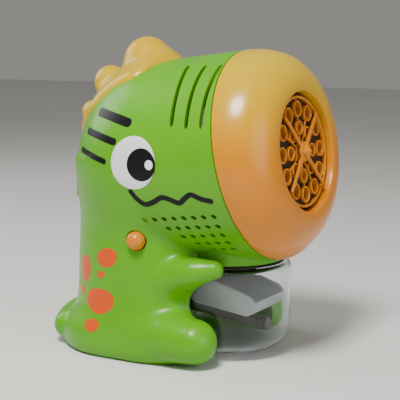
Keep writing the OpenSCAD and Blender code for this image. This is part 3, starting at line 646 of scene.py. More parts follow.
# Grille: holes in each row, pitch and first place along the head, angles below the side
GRILLE_ROWS = [7, 6, 5, 4, 3]
GRILLE_PITCH, GRILLE_FIRST = 6.2, -7.5
GRILLE_ANGLE, GRILLE_STEP = 28.0, 6.4
HOLE_LONG, HOLE_WIDE, HOLE_SLANT = 1.75, 1.25, 35
# Screws across the shells: radii of hole, boss and seat, and places (y, z)
SCREW_R, BOSS_R, SEAT_R = 1.4, 3.9, 3.0
SCREWS = [(TANK_Y + 6, 160), (TANK_Y + 70, 142), (TANK_Y + 78, 114), (TANK_Y + 66, 14)]
BASE_SCREWS = [(s * x, TANK_Y + y) for s in (-1, 1) for x, y in ((40, 34), (28, 74))]


def hollow(p):
    """Space inside the shells, clear of the wall round the tank's bay."""
    from_axis = np.hypot(p[:, 0], p[:, 1] - TANK_Y)
    bay = np.maximum(from_axis - BAY_R - WALL, p[:, 2] - COLLAR_Z - WALL)
    return np.maximum(body(p) + WALL, -bay)


def past_seam(p):
    return (p - SEAM) @ AHEAD


def closed_body(p):
    """The body, stopped a little ahead of the seam."""
    return np.maximum(body(p), past_seam(p) - 9)


def solid_of(name, field, step=GRID, lo=BOX_LO, hi=BOX_HI, fine=True):
    """Solid of a field; fine moves its points onto the exact surface."""
    points, faces = surface(field, lo, hi, step)
    if fine:
        points = settle(field, points)
    return make(name, points, faces)


def head_block(name, back, front, radius, segments=96):
    """Cylinder about the head's axis. Its back leans a little more than the nozzle does:
    ahead at the chin, back at the brow."""
    ring = circle(radius, segments)
    points = [(x, y, back - y * SEAM_LEAN) for x, y in ring] + [(x, y, front) for x, y in ring]
    return capped(name, points, HEAD)


def vent_tool(side, row):
    """Curved slot round the head with rounded ends."""
    start, stop, shift_low, shift_high = VENTS[row]
    steps = 24
    points = []
    for k in range(steps + 1):
        t = k / steps
        a = math.radians(start + (stop - start) * t)
        w = VENT_FIRST - VENT_PITCH * row + shift_low + (shift_high - shift_low) * t * t
        end = min(t, 1 - t) * math.radians(stop - start) * HEAD_R
        half = VENT_HALF * math.sqrt(max(0.12, 1 - max(0, 1 - end / VENT_HALF) ** 2))
        for r in (HEAD_R - 6, HEAD_R + 4):
            for s in (-half, half):
                points.append((side * r * math.cos(a), r * math.sin(a), w + s))
    faces = [[4 * k + a, 4 * k + b, 4 * k + b + 4, 4 * k + a + 4]
             for k in range(steps) for a, b in ((0, 1), (1, 3), (3, 2), (2, 0))]
    last = 4 * steps
    faces += [[0, 1, 3, 2], [last, last + 2, last + 3, last + 1]]
    return outward(make("vent", at(HEAD, points), faces))


def hole_tool(side, row, i, depth):
    """Slanted oval hole of the grille."""
    a = math.radians(GRILLE_ANGLE + GRILLE_STEP * row)
    place = moved(z=GRILLE_FIRST - GRILLE_PITCH * i)
    out = Vector((side * math.cos(a), -math.sin(a), 0))
    along = Vector((0, 0, 1))
    turn = Matrix((along, out.cross(along), out)).transposed().to_4x4()
    slant = math.radians(HOLE_SLANT * side)
    c, s = math.cos(slant), math.sin(slant)
    oval = [(HOLE_LONG * x * c - HOLE_WIDE * y * s, HOLE_LONG * x * s + HOLE_WIDE * y * c)
            for x, y in circle(1.0, 16)]
    return prism("hole", oval, HEAD_R - depth, HEAD_R + 5, HEAD @ place @ turn)


def door_space(gap, radius):
    """Space of the door, larger than it by gap, with rounded corners."""
    lo = (-DOOR_HALF - gap, DOOR_LOW - gap)
    hi = (DOOR_HALF + gap, DOOR_HIGH + gap)
    upright = Matrix(((1, 0, 0, 0), (0, 0, -1, 0), (0, 1, 0, 0), (0, 0, 0, 1)))
    outline = rounded(rectangle(lo, hi), radius, 6)
    return prism("door_space", outline, -BACK_Y - 25, -BACK_Y + 12, upright)


def switch_space():
    lo = (-KNOB_W / 2 - GAP, SWITCH_REACH - 12, KNOB_LOW - 0.5)
    hi = (KNOB_W / 2 + GAP, SWITCH_REACH + 14, KNOB_HIGH + TRAVEL + 0.5)
    return block("switch_space", lo, hi, SWITCH)


def shell_tools():
    """Everything that is cut from the shells."""
    button = moved(BUTTON_X, BUTTON[Y], BUTTON[Z], 90, "Y")
    tools = [
        head_block("mouth", -0.15, 140, HEAD_R + 8),
        head_block("mouth_rebate", -4.6, 2, HEAD_R - WALL, 128),
        prism("bay", circle(BAY_R, 128), -5, COLLAR_Z, TANK_AXIS),
        prism("throat", circle(COLLAR_R + 0.2, 96), -5, SEAM[Z] / 2 + 20, TANK_AXIS),
        block("floor", (-90, -120, -20), (90, 120, BASE_T)),
        door_space(GAP, 3.0),
        switch_space(),
        prism("button_hole", circle(BUTTON_R + GAP, 48), -14, 8, button),
    ]
    for side in (-1, 1):
        tools += [vent_tool(side, row) for row in range(len(VENTS))]
        for row, count in enumerate(GRILLE_ROWS):
            tools += [hole_tool(side, row, i, 6) for i in range(count)]
        # The rearmost hole of the top row is only a dimple
        tools.append(hole_tool(side, 0, GRILLE_ROWS[0], 0.7))
    for y, z in SCREWS:
        tools.append(prism("screw_hole", circle(SCREW_R, 20), -12, 12, sideways(y, z)))
        tools.append(prism("screw_seat", circle(SEAT_R, 32), 10, HEAD_R + 9, sideways(y, z)))
    return tools


def true_normals(o):
    """Gives the shell the field's own normals where it still lies on the field's surfaces."""
    mesh = o.data

    def read(items, name, width, kind=float):
        values = np.empty(len(items) * width, kind)
        items.foreach_get(name, values)
        return values.reshape(-1, width) if width > 1 else values

    co = read(mesh.vertices, "co", 3) / MM
    vert = read(mesh.loops, "vertex_index", 1, int)
    face = np.repeat(np.arange(len(mesh.polygons)), read(mesh.polygons, "loop_total", 1, int))
    normal = read(mesh.polygons, "normal", 3)[face]
    flat = normal.copy()
    d = body(co)
    g = unit(gradient(body, co))
    radial = co - np.array([0, TANK_Y, 0])
    radial[:, 2] = 0
    reach = np.linalg.norm(radial, axis=1)
    radial /= np.maximum(reach, 1e-6)[:, None]
    outer = np.abs(d) < 0.06
    inner = np.abs(d + WALL) < 0.12
    bay = np.abs(reach - BAY_R) < 0.05
    for mask, field in ((outer, g), (inner, -g), (bay, -radial)):
        close = mask[vert] & ((field[vert] * flat).sum(1) > 0.86)
        normal[close] = field[vert][close]
    for f in mesh.polygons:
        f.use_smooth = True
    mesh.normals_split_custom_set(normal.tolist())
    return o


def shells():
    left = solid_of("shell_solid", closed_body)
    inside = solid_of("hollow", lambda p: np.maximum(hollow(p), past_seam(p) - 12), GRID * 1.25)
    carve(left, inside)
    bosses = joined("bosses", [prism("boss", circle(BOSS_R, 32), -90, 90, sideways(y, z))
                               for y, z in SCREWS])
    core = solid_of("core", lambda p: closed_body(p) + WALL / 2, GRID * 1.6)
    carve(bosses, core, how="INTERSECT")
    carve(left, bosses, how="UNION")
    carve(left, *shell_tools())
    # The two halves; a hair's gap stands for the parting line
    right = placed("shell_right_skin", left.data.copy())
    carve(left, block("half", (-150, -150, -50), (0.08, 150, 250)))
    carve(right, block("half", (-0.08, -150, -50), (150, 150, 250)))
    left.name = "shell_left_skin"
    piece(true_normals(right), "machine", "green_plastic", ["shell_right"])
    piece(true_normals(left), "machine", "green_plastic", ["shell_left"])


def battery_door():
    lo = np.array([-DOOR_HALF - 4, BACK_Y - 18, DOOR_LOW - 6])
    hi = np.array([DOOR_HALF + 4, BACK_Y + 8, DOOR_HIGH + 6])

    def skin(p):
        """The body's wall, cut off a little inside the box."""
        d = body(p)
        limits = [lo[0] + 1 - p[:, 0], p[:, 0] - hi[0] + 1,
                  lo[2] + 1 - p[:, 2], p[:, 2] - hi[2] + 1, lo[1] + 1 - p[:, 1]]
        return np.maximum.reduce([d, -(d + WALL)] + limits)

    o = solid_of("battery_door_skin", skin, DOOR_GRID, lo - 2, hi + 2)
    carve(o, door_space(-0.05, 2.8), how="INTERSECT")
    rearward = moved(z=DOOR_SCREW_Z, turn=-90, axis="X")
    carve(o, prism("recess", circle(3.6, 40), BACK_Y - 0.9, BACK_Y + 10, rearward))
    piece(true_normals(o), "door", "green_plastic", ["battery_door"])
    ridges = []
    for k in range(3):
        z = DOOR_HIGH - 6 - 3.2 * k
        ridges.append(block("ridge", (-8, BACK_Y - 1.2, z), (8, BACK_Y + 1.15, z + 1.4), edge=0.5))
    piece(smooth(joined("door_finger_ridges", ridges)), "door", "green_plastic")


def base_plate():
    lo, hi = BOX_LO.copy(), BOX_HI.copy()
    lo[2], hi[2] = -4, 12

    def sole(p):
        return np.maximum(body(p) + 0.15, p[:, 2] - 8)

    o = solid_of("base_plate_skin", sole, GRID, lo, hi, fine=False)
    carve(o, block("slab", (-90, -120, 0.0), (90, 120, BASE_T - 0.1)), how="INTERSECT")
    tools = [prism("bay", circle(BAY_R + 0.2, 128), -5, 20, TANK_AXIS)]
    tools += [prism("recess", circle(3.2, 32, place), -1, 1.0) for place in BASE_SCREWS]
    carve(o, *tools)
    piece(smooth(o, 40), "machine", "green_plastic", ["base_plate"])


shells()
battery_door()
base_plate()


# ---------------- crest

# Each knob: its angle over the skull from the rear, its height, root radius and tip radius
SPIKES = [(76.5, 17, 24, 14), (50, 17, 16, 10.0), (30.5, 15, 11, 7.2)]
CREST_T = 2.6
CREST_RISE = 3.0
CREST_HALF = 32.5
CREST_LOW, CREST_HIGH = 19.0, 90.0
CREST_PEAK = 2.0
# Depth of the crest's underside in the shell
CREST_SINK = 0.8


def crest_field(p):
    r = p - SKULL
    u, v, w = r @ SIDE, r @ UP, r @ AHEAD
    reach = np.where(w > 0, np.hypot(u, v), np.sqrt(u * u + v * v + w * w))
    share = np.clip(1 - np.abs(u) / CREST_HALF, 0, 1)
    over = reach - HEAD_R - CREST_T - CREST_RISE * ease(share)
    # Footprint of the band: straight sides, a rounded foot at the back and a peak at the front
    angle = np.degrees(np.arctan2(v, -w))
    mm = math.radians(1) * HEAD_R
    taper = np.clip(0.72 + 0.28 * ease((angle - CREST_LOW) / 30), 0, 1)
    sides = np.abs(u) - CREST_HALF * taper
    front = (angle - CREST_HIGH - CREST_PEAK * share ** 1.6) * mm * 0.8
    rear = (CREST_LOW - angle) * mm
    foot = smooth_max(smooth_max(sides, rear, 16), front, 12)
    d = smooth_max(over, foot, 3.4)
    for turn, height, ball, tip_ball in SPIKES:
        a = math.radians(turn)
        out = math.sin(a) * UP - math.cos(a) * AHEAD
        root = SKULL + (HEAD_R - 0.35 * ball) * out
        tip = SKULL + (HEAD_R + height - tip_ball) * out
        d = smooth_min(d, capsule(p, root, tip, ball, tip_ball), 6)
    return np.maximum(d, HEAD_R - CREST_SINK - reach)


def crest():
    lo = SKULL + np.array([-CREST_HALF - 4, -40, 8])
    hi = SKULL + np.array([CREST_HALF + 4, 80, 80])
    o = solid_of("crest_skin", crest_field, 1.15, lo, hi)
    piece(smooth(o, 38), "machine", "yellow_plastic", ["crest"], crest_yellow)


crest()


# ---------------- snout dome

# Radius and depth of the flat ring inside the bulge, and of the mouth that holds the nozzle
DOME_CORE, DOME_DEPTH = 36.0, 26.0
MOUTH_R, MOUTH_DEPTH = 33.0, 8.0


def snout_dome():
    bulge = HEAD_R - DOME_CORE
    face_in = DOME_DEPTH - WALL
    floor_z = DOME_DEPTH - MOUTH_DEPTH - 1.6
    spigot = HEAD_R - WALL - 0.3
    profile = [(HEAD_R - 0.6, 0.15), (HEAD_R - 0.1, 0.55)]
    profile += arc(DOME_CORE, 0, bulge, 4, 88, 50, DOME_DEPTH)
    profile += [
        (DOME_CORE - 0.6, DOME_DEPTH), (MOUTH_R + 1.2, DOME_DEPTH - 0.1),
        (MOUTH_R + 0.4, DOME_DEPTH - 0.45), (MOUTH_R, DOME_DEPTH - 1.3), (MOUTH_R, floor_z),
        (MOUTH_R + WALL, floor_z), (MOUTH_R + WALL, face_in)
    ]
    profile += arc(DOME_CORE, 0, bulge - WALL, 88, 4, 50, face_in)[3:-2]
    profile += [(spigot - 1.7, 1.5), (spigot - 1.7, -3.5), (spigot, -3.5), (spigot, 0.15)]
    o = lathe("snout_dome_skin", profile, segments=160)
    # The back of the dome leans with the seam, the front with the nozzle
    points = np.array([v.co for v in o.data.vertices]) / MM
    share = np.clip(1 - points[:, 2] / (DOME_DEPTH - MOUTH_DEPTH - 2), 0, 1)
    points[:, 2] -= points[:, 1] * SEAM_LEAN * share
    points = at(HEAD, points) * MM
    o.data.vertices.foreach_set("co", points.astype(np.float32).ravel())
    o.data.update()
    piece(smooth(outward(o), 32), "machine", "orange_plastic", ["snout_dome"], dome_orange)


snout_dome()


# ---------------- nozzle

NOZZLE_BACK, NOZZLE_FRONT = 16.5, 22.5
NOZZLE_RIM = 30.8
# Where the rings start, and the dark brown bed behind the gaps between them; the bed sits close to the ring fronts
# so that it also paints the shade deep in the gaps
RING_BACK = NOZZLE_BACK + 1.5
BED = NOZZLE_FRONT - 1.9
SHAFT_R = 1.55
# Rings: how many, radius of the circle they stand on, radius of each
RINGS = [(12, 23.6, 4.6), (8, 13.2, 4.0)]
RIBS = 12
RING_WALL = 1.0


def ring_places():
    for count, reach, r in RINGS:
        for i in range(count):
            a = 2 * math.pi * i / count
            yield reach * math.sin(a), reach * math.cos(a), r


def tube_ring(name, r_out, r_in, bottom, top, x=0.0, y=0.0, segments=48):
    """Ring with a rounded front edge."""
    half = (r_out - r_in) / 2
    crown = arc((r_out + r_in) / 2, top - half, half, 0, 180, 9)
    profile = [(r_out, bottom)] + crown + [(r_in, bottom)]
    return lathe(name, profile, HEAD @ moved(x, y), segments)


def bores(spare, bottom, top, count):
    """Round cuts at the rings, wider than the rings' radius by spare."""
    return [prism("bore", circle(r + spare, count, (x, y)), bottom, top, HEAD)
            for x, y, r in ring_places()]


def nozzle():
    rim_in = NOZZLE_RIM - 1.6
    edge = NOZZLE_BACK + 3.5
    # The seat's dark bed is partly the seat's own dark brown and partly painted shade in the gaps between the
    # rings.
    seat = [
        (MOUTH_R - 0.1, NOZZLE_BACK), (MOUTH_R - 0.1, edge - 0.2), (MOUTH_R - 0.4, edge),
        (NOZZLE_RIM + 0.6, edge), (NOZZLE_RIM + 0.3, edge - 0.3), (NOZZLE_RIM + 0.3, RING_BACK),
        (rim_in, RING_BACK), (rim_in, BED), (6.1, BED), (6.1, RING_BACK),
        (SHAFT_R, RING_BACK), (SHAFT_R, NOZZLE_BACK)
    ]
    o = lathe("nozzle_seat_skin", seat, HEAD, 128)
    carve(o, *bores(-RING_WALL, NOZZLE_BACK - 1, RING_BACK + 2, 32),
          *bores(0.02, RING_BACK, BED + 1, 48))
    piece(smooth(o), "machine", "brown_plastic", ["nozzle_seat"])

    parts = [tube_ring("ring", r, r - RING_WALL, RING_BACK, NOZZLE_FRONT - 0.1, x, y)
             for x, y, r in ring_places()]
    rim = tube_ring("rim", NOZZLE_RIM, NOZZLE_RIM - 1.5, RING_BACK, NOZZLE_FRONT, segments=128)
    hub = [(6, RING_BACK), (6, NOZZLE_FRONT - 1.3), (5.7, NOZZLE_FRONT - 1),
           (SHAFT_R, NOZZLE_FRONT - 1), (SHAFT_R, RING_BACK)]
    parts += [rim, lathe("hub", hub, HEAD, 48)]
    for i in range(RIBS):
        lo, hi = (5.0, -0.55, BED + 0.02), (NOZZLE_RIM - 0.6, 0.55, BED + 1.0)
        turn = HEAD @ moved(turn=90 + 360 * i / RIBS)
        parts.append(block("rib", lo, hi, turn, edge=0.2, segments=2))
    plate = parts[0]
    carve(plate, *parts[1:], how="UNION")
    carve(plate, *bores(-RING_WALL, RING_BACK - 1, NOZZLE_FRONT + 1, 32))
    plate.name = "nozzle_plate_skin"
    piece(smooth(plate, 40), "machine", "orange_plastic", ["nozzle_plate"])


nozzle()

# The wiper turns just ahead of the rings
WIPER_LOW = NOZZLE_FRONT + 0.5
WIPER_TOP = WIPER_LOW + 1.6
ARM_TOP = WIPER_LOW + 1.2
ARM_REACH = 28.6


def wiper():
    boss = [(5.4, WIPER_LOW), (5.4, ARM_TOP), (5.0, WIPER_TOP), (0, WIPER_TOP), (0, WIPER_LOW)]
    o = lathe("wiper_skin", boss, HEAD, 48)
    outline = rounded([(0.5, -1.5), (ARM_REACH, -0.8), (ARM_REACH, 0.8), (0.5, 1.5)], 0.7, 4)
    arms = []
    for i in range(4):
        turn = HEAD @ moved(turn=45 + 90 * i)
        arms.append(bevel(prism("arm", outline, WIPER_LOW, ARM_TOP, turn), 0.3, 2))
    carve(o, *arms, how="UNION")
    piece(smooth(o), "wiper_unit", "orange_plastic", ["wiper"])
    # Four-sided pointed cap
    star = [(r * math.cos(k * math.pi / 4), r * math.sin(k * math.pi / 4))
            for k, r in enumerate([5.2, 3.1] * 4)]
    points = [(x, y, WIPER_TOP) for x, y in star]
    points += [(x * 0.96, y * 0.96, WIPER_TOP + 0.8) for x, y in star]
    points += [(0, 0, WIPER_TOP + 3.4), (0, 0, WIPER_TOP)]
    faces = band(8)
    faces += [[8 + k, 8 + (k + 1) % 8, 16] for k in range(8)]
    faces += [[(k + 1) % 8, k, 17] for k in range(8)]
    cap = bevel(outward(make("hub_cap_skin", at(HEAD, points), faces)), 0.25, 2, 15)
    piece(cap, "wiper_unit", "orange_plastic", ["hub_cap"])


wiper()


# ---------------- tank, collar and seal

NECK_R = COLLAR_R - 3.4
TANK_WALL = 1.6
TANK_FOOT = 12.0
TANK_SHOULDER = 2.8


def tank():
    wall, foot, shoulder = TANK_WALL, TANK_FOOT, TANK_SHOULDER
    neck_in = NECK_R - wall
    roof = RIM_Z - wall
    profile = [(0, TANK_Z)] + arc(TANK_R - foot, TANK_Z + foot, foot, -90, 0, 17)
    profile += arc(TANK_R - shoulder, RIM_Z - shoulder, shoulder, 0, 90, 8)
    profile += [
        (NECK_R + 0.5, RIM_Z), (NECK_R, RIM_Z + 0.4), (NECK_R, NECK_TOP - 0.4),
        (NECK_R - 0.4, NECK_TOP), (neck_in + 0.3, NECK_TOP), (neck_in, NECK_TOP - 0.4),
        (neck_in, roof + 0.5), (neck_in + 0.6, roof)
    ]
    profile += arc(TANK_R - wall - 1.6, roof - 1.6, 1.6, 90, 0, 8)
    profile += arc(TANK_R - foot, TANK_Z + foot, foot - wall, 0, -90, 17) + [(0, TANK_Z + wall)]
    o = lathe("tank_skin", profile, TANK_AXIS, 160)
    piece(smooth(o), "tank_unit", "clear_plastic", ["tank"])
    r = span("tank_seal", X) / 2
    seal = [
        (r, RIM_Z + 0.3), (r, RIM_Z + 0.9), (r - 0.3, RIM_Z + 1.2), (NECK_R + 0.4, RIM_Z + 1.2),
        (NECK_R + 0.1, RIM_Z + 0.9), (NECK_R + 0.1, RIM_Z), (r - 0.3, RIM_Z)
    ]
    o = lathe("tank_seal_skin", seal, TANK_AXIS, 128)
    piece(smooth(o), "tank_unit", "black_rubber", ["tank_seal"])


def collar():
    inside = COLLAR_R - 3.0
    top = COLLAR_Z + 16
    profile = [
        (COLLAR_R - 0.8, COLLAR_Z), (COLLAR_R - 0.2, COLLAR_Z + 0.25), (COLLAR_R, COLLAR_Z + 0.9),
        (COLLAR_R, top), (inside, top), (inside, COLLAR_Z + 0.5), (inside + 0.5, COLLAR_Z)
    ]
    o = lathe("tank_collar_skin", profile, TANK_AXIS, 128)
    carve(o, prism("head", circle(HEAD_R - 0.4, 160), -90, 60, HEAD))
    piece(smooth(o), "machine", "green_plastic", ["tank_collar"])


def tank_insides():
    """Drip tray, pickup arm and filter: outlines seen from the side, y from the tank's axis."""
    half = span("drip_tray", X) / 2
    along = Matrix(((0, 0, 1, 0), (1, 0, 0, TANK_Y), (0, 1, 0, 0), (0, 0, 0, 1)))
    outline = arc(14, 42, 6, -20, 100, 10)
    outline += arc(-20, 31, 6, 105, 262, 10) + arc(10, 34, 5, 265, 340, 10)
    tray = bevel(prism("drip_tray_skin", outline, -half, half, along), 0.9, 3, 50)
    slope = moved(0, TANK_Y - 2, 45, 14, "X")
    carve(tray, block("trough", (-half + 2.5, -35, -6), (half - 2.5, 35, 6), slope, edge=1.0))
    piece(smooth(tray), "machine", "grey_plastic", ["drip_tray"])
    rear = high("pickup_arm")[Y] - TANK_Y
    front = low("pickup_arm")[Y] - TANK_Y
    outline = [(rear, 20), (rear, 27), (rear - 3, 27), (front, 20.5), (front, 15), (front + 2, 15)]
    arm = bevel(prism("pickup_arm_skin", outline, -3.6, 3.6, along), 0.7, 3)
    piece(arm, "machine", "dark_plastic", ["pickup_arm"])
    lo, hi = low("pickup_filter"), high("pickup_filter")
    turn = moved(0, hi[Y], (lo[Z] + hi[Z]) / 2, 90, "X")
    profile = [(0, 0), (3.8, 0), (4, 0.3), (4, 1), (3.7, 1.3), (4, 1.6), (4, 2.6), (3.7, 2.9),
               (4, 3.2), (4, 5.6), (3.6, 6), (0, 6)]
    o = lathe("pickup_filter_skin", profile, turn, 40)
    piece(smooth(o), "machine", "dark_plastic", ["pickup_filter"])


tank()
collar()
tank_insides()


# ---------------- button, switch knob, screws

def shoulder_button():
    """Ball on a stem, with the ball on the animal's right."""
    turn = moved(BUTTON_X, BUTTON[Y], BUTTON[Z], -90, "Y")
    r = BUTTON_R
    profile = arc(0, 0, r, 90, -52, 26)
    profile += [(3.3, -r + 0.7), (3.0, -r + 0.2), (3.0, -9.4), (2.8, -9.5), (0, -9.5)]
    o = lathe("shoulder_button_skin", profile, turn, 64)
    piece(smooth(o), "button", "orange_plastic", ["shoulder_button"])


def switch_knob():
    lo = (-KNOB_W / 2, SWITCH_REACH - 2.8, KNOB_LOW)
    hi = (KNOB_W / 2, SWITCH_REACH + 2.35, KNOB_HIGH)
    knob = block("power_switch_skin", lo, hi, SWITCH, edge=1.1, segments=4)
    cuts = []
    for k in (-1, 0, 1):
        z = (KNOB_LOW + KNOB_HIGH) / 2 + 1.9 * k
        groove_lo, groove_hi = (-4, SWITCH_REACH + 1.8, z - 0.45), (4, SWITCH_REACH + 4, z + 0.45)
        cuts.append(block("groove", groove_lo, groove_hi, SWITCH))
    carve(knob, *cuts)
    piece(smooth(knob), "switch_knob", "green_plastic", ["power_switch"])
    lo = (-1.5, SWITCH_REACH - 6, KNOB_LOW + 2.5)
    hi = (1.5, SWITCH_REACH - 2.6, KNOB_HIGH - 2.5)
    stem = block("power_switch_stem", lo, hi, SWITCH, edge=0.3)
    piece(stem, "switch_knob", "green_plastic")


def screw(matrix):
    """Cross-head screw that points along -z."""
    r, height, shank = 2.6, 0.95, 7
    profile = [
        (0, height), (r * 0.55, height - 0.05), (r * 0.85, height - 0.25), (r, height - 0.6),
        (r, 0), (1.2, 0), (1.2, -shank), (0, -shank)
    ]
    lo, hi = (-r * 0.62, -0.35, height - 0.55), (r * 0.62, 0.35, height + 1)
    cross = [block("slot", lo, hi, matrix @ moved(turn=a)) for a in (0, 90)]
    return smooth(carve(lathe("screw", profile, matrix, 40), *cross))


def screws():
    o = screw(moved(0, BACK_Y - 0.88, DOOR_SCREW_Z, -90, "X"))
    o.name = "door_screw_skin"
    piece(o, "door", "steel", ["door_screw"])
    heads = [screw(moved(x, y, 1.4, 180, "X")) for x, y in BASE_SCREWS]
    piece(joined("base_screws_skin", heads), "machine", "steel", ["base_screws"])


shoulder_button()
switch_knob()
screws()


# ---------------- printed face and spots

def onto(side, y, z, lift):
    """Points on the body's side, seen from that side, raised by lift."""
    p = np.stack([np.full(len(y), side * 74.0), y, z], 1)
    for _ in range(60):
        p[:, 0] -= side * body(p) * 0.8
    return p + unit(gradient(body, p)) * np.asarray(lift)[:, None]


def printed(name, side, flat, faces, rim, lifts, depth, slot, material, stands_for=()):
    """Thin closed piece that follows the body, from flat points, their faces and the loop round
    the edge. Its top lies at the lifts above the body and its bottom at depth below it."""
    flat = np.array(flat, float)
    n = len(flat)
    top = onto(side, flat[:, 0], flat[:, 1], lifts)
    bottom = onto(side, flat[:, 0], flat[:, 1], np.full(n, -depth))
    walls = [[a, b, b + n, a + n] for a, b in zip(rim, rim[1:] + rim[:1])]
    all_faces = [list(f) for f in faces] + [[i + n for i in f][::-1] for f in faces] + walls
    o = outward(make(name, np.concatenate([top, bottom]), all_faces))
    return piece(smooth(o, 50), "machine", slot, stands_for, material)


def blob(name, side, centre, half, lift, slot, material,
         turn=0.0, wobble=0.0, base=0.25, soft=0.25, stands_for=()):
    """Printed oval; wobble makes it uneven and soft lowers its edge."""
    rings, around = (10, 48) if max(half) > 4 else (5, 28)
    flat, lifts = [centre], [lift]
    c, s = math.cos(math.radians(turn)), math.sin(math.radians(turn))
    for i in range(1, rings + 1):
        for k in range(around):
            a = 2 * math.pi * k / around
            r = 1 + wobble * math.sin(2 * a + 1) + wobble * 0.6 * math.sin(3 * a)
            r *= i / rings
            u, v = half[0] * r * math.cos(a), half[1] * r * math.sin(a)
            flat.append((centre[0] + u * c - v * s, centre[1] + u * s + v * c))
            lifts.append(lift if i < rings else lift - soft)
    faces = [[0, 1 + k, 1 + (k + 1) % around] for k in range(around)]
    for i in range(rings - 1):
        a, b = 1 + i * around, 1 + (i + 1) * around
        for k in range(around):
            faces.append([a + k, b + k, b + (k + 1) % around, a + (k + 1) % around])
    rim = [1 + (rings - 1) * around + k for k in range(around)]
    return printed(name, side, flat, faces, rim, lifts, base, slot, material, stands_for)


def curve_through(points, steps):
    """Smooth curve through the points, with straight run-outs at its ends."""
    p = [np.array(q, float) for q in points]
    p = [2 * p[0] - p[1]] + p + [2 * p[-1] - p[-2]]
    out = []
    for a, b, c, d in zip(p, p[1:], p[2:], p[3:]):
        for k in range(steps):
            t = k / steps
            square = 2 * a - 5 * b + 4 * c - d
            cube = 3 * b - a - 3 * c + d
            out.append(0.5 * (2 * b + (c - a) * t + square * t ** 2 + cube * t ** 3))
    out.append(p[-2])
    return np.array(out)


def stroke(name, side, points, width, slot="dark_plastic", lift=0.14):
    """Printed line with round ends."""
    line = curve_through(points, 10)
    along = unit(np.gradient(line, axis=0))
    across = np.stack([-along[:, 1], along[:, 0]], 1)
    half = width / 2
    extra = np.linspace(half, 0, 6)[:-1]
    starts = [line[0] - along[0] * e for e in extra]
    ends = [line[-1] + along[-1] * e for e in extra[::-1]]
    spine = np.array(starts + list(line) + ends)
    sideward = np.array([across[0]] * len(extra) + list(across) + [across[-1]] * len(extra))
    cap = [math.sqrt(max(0.02, 1 - (e / half) ** 2)) for e in extra]
    widths = np.array(cap + [1.0] * len(line) + cap[::-1]) * half
    flat = [c + s * w * k
            for c, w, s in zip(spine, widths, sideward) for k in (-1, -0.5, 0, 0.5, 1)]
    n = len(spine)
    faces = [[5 * i + k, 5 * i + k + 1, 5 * i + k + 6, 5 * i + k + 5]
             for i in range(n - 1) for k in range(4)]
    rim = list(range(5)) + [5 * i + 4 for i in range(1, n)]
    rim += [5 * (n - 1) + k for k in (3, 2, 1, 0)] + [5 * i for i in range(n - 2, 0, -1)]
    return printed(name, side, flat, faces, rim, [lift] * len(flat), 0.25, slot, print_black)


# Places on the side of the head and the body, as (y, z)
EYE = tuple((low("eye_right") + high("eye_right"))[1:] / 2)
EYE_R = span("eye_right", Z) / 2
PUPIL = (EYE[0] - 5.6, EYE[1] - 0.7)
GLINT = (PUPIL[0] - 5.2, PUPIL[1] + 0.2)
# Brows: their two ends and their width
BROWS = [
    ((32.4, 137.5), (8.6, 133.0), 4.8), ((39.8, 126.7), (16.0, 122.5), 3.9),
    ((44.9, 116.0), (21.8, 111.5), 3.1)
]
MOUTH = [
    (4.0, 96.3), (0.5, 92.3), (-4.2, 89.7), (-9.5, 91.4), (-15.1, 94.3), (-20.2, 93.4),
    (-25.3, 92.0), (-29.3, 94.8), (-33.3, 97.1), (-39.0, 95.2), (-44.8, 94.3)
]
# Spots: centre, half lengths and turn
SPOTS = [
    ((43.3, 48.3), (5.2, 7.9), 0), ((24.6, 56.8), (7.0, 5.6), -18), ((28.6, 46.8), (3.0, 2.1), -15),
    ((46.3, 35.3), (3.0, 2.6), 0), ((29.2, 31.8), (10.6, 7.3), -6), ((32.5, 18.0), (5.2, 3.8), -12)
]


def face(side, tag):
    blob(f"eye_{tag}_skin", side, EYE, (EYE_R, EYE_R), 0.5, "eye_white", materials["eye_white"],
         stands_for=[f"eye_{tag}"])
    blob(f"pupil_{tag}", side, PUPIL, (9.0, 8.8), 0.62, "dark_plastic", print_black,
         base=-0.2, soft=0.08)
    blob(f"glint_{tag}", side, GLINT, (2.5, 2.6), 0.72, "eye_white", print_white,
         base=-0.4, soft=0.05)
    for k, (a, b, width) in enumerate(BROWS):
        middle = ((a[0] + b[0]) / 2, (a[1] + b[1]) / 2 + 0.3)
        stroke(f"brow_{tag}_{k + 1}", side, [a, middle, b], width)
    stroke(f"mouth_{tag}", side, MOUTH, 2.8)
    for k, (centre, half, turn) in enumerate(SPOTS):
        blob(f"spot_{tag}_{k + 1}", side, centre, half, 0.14, "orange_plastic", print_red,
             turn=turn, wobble=0.05, soft=0.06)


face(-1, "right")
face(1, "left")


# ---------------- finishes of the inner pieces

for part in frame["record"]["subparts"]:
    o = frame["nodes"][part["node"]]
    o.data.materials.clear()
    o.data.materials.append(materials[part["material_slot"]])


# ---------------- floor, light and camera

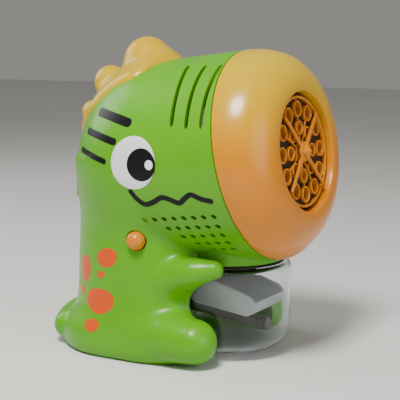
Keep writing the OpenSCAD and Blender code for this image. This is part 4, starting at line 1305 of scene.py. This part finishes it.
def floor():
    half = 3.0
    mesh = bpy.data.meshes.new("floor")
    corners = [(x, y, 0) for x, y in rectangle((-half, -half), (half, half))]
    mesh.from_pydata(corners, [], [(0, 1, 2, 3)])
    o = placed("floor", mesh)
    o.location.z = -0.0002
    m, t, shader = nodes_of("floor_paper")
    stops = [(0.3, (0.70, 0.695, 0.68)), (0.8, (0.74, 0.735, 0.72))]
    put(t, shader, {"Roughness": 0.7, "Base Color": ramp(t, noise(t, 3), stops)})
    o.data.materials.append(m)


# The camera sees the toy as the photo does
VIEW_TURN, VIEW_RISE, VIEW_REACH = math.radians(-59.53), math.radians(8.41), 650.3
LENS, SENSOR = 100.7, 36
AIM = np.array([0.0, TANK_Y + 20, 85.0])
BACK = np.array([
    math.sin(VIEW_TURN) * math.cos(VIEW_RISE),
    -math.cos(VIEW_TURN) * math.cos(VIEW_RISE),
    math.sin(VIEW_RISE)
])
RIGHT = np.array([math.cos(VIEW_TURN), math.sin(VIEW_TURN), 0])
LIFT = np.array([0, 0, 1.0])
WORLD_COLOR, WORLD_POWER = (1.0, 0.97, 0.92, 1), 0.27


def aimed(o, place):
    """Puts a camera or light at a place and points it at the toy."""
    o.location = Vector(place * MM)
    o.rotation_euler = Vector(AIM - place).to_track_quat("-Z", "Y").to_euler()


def camera():
    data = bpy.data.cameras.new("camera")
    data.lens = LENS
    data.sensor_width = SENSOR
    data.clip_start = 0.01
    o = placed("camera", data)
    aimed(o, AIM + BACK * VIEW_REACH)
    bpy.context.scene.camera = o


def light(name, towards, reach, size, power, color=(1, 1, 1)):
    """Round lamp; size is in metres and power in watts."""
    data = bpy.data.lights.new(name, "AREA")
    data.shape = "DISK"
    data.size = size
    data.energy = power
    data.color = color
    aimed(placed(name, data), AIM + towards / np.linalg.norm(towards) * reach)


def studio():
    world = bpy.data.worlds.new("studio")
    bpy.context.scene.world = world
    world.use_nodes = True
    t = world.node_tree
    put(t, t.nodes["Background"], {"Color": WORLD_COLOR, "Strength": WORLD_POWER})
    light("key", BACK - RIGHT * 0.35 + LIFT * 1.5, 900, 0.3, 12.5, (1.0, 0.98, 0.94))
    light("fill", BACK + RIGHT * 1.1 + LIFT * 0.25, 1100, 0.9, 4.5)
    light("rim", -BACK * 0.7 - RIGHT * 1.2 + LIFT * 0.9, 1000, 0.7, 4)


floor()
camera()
studio()
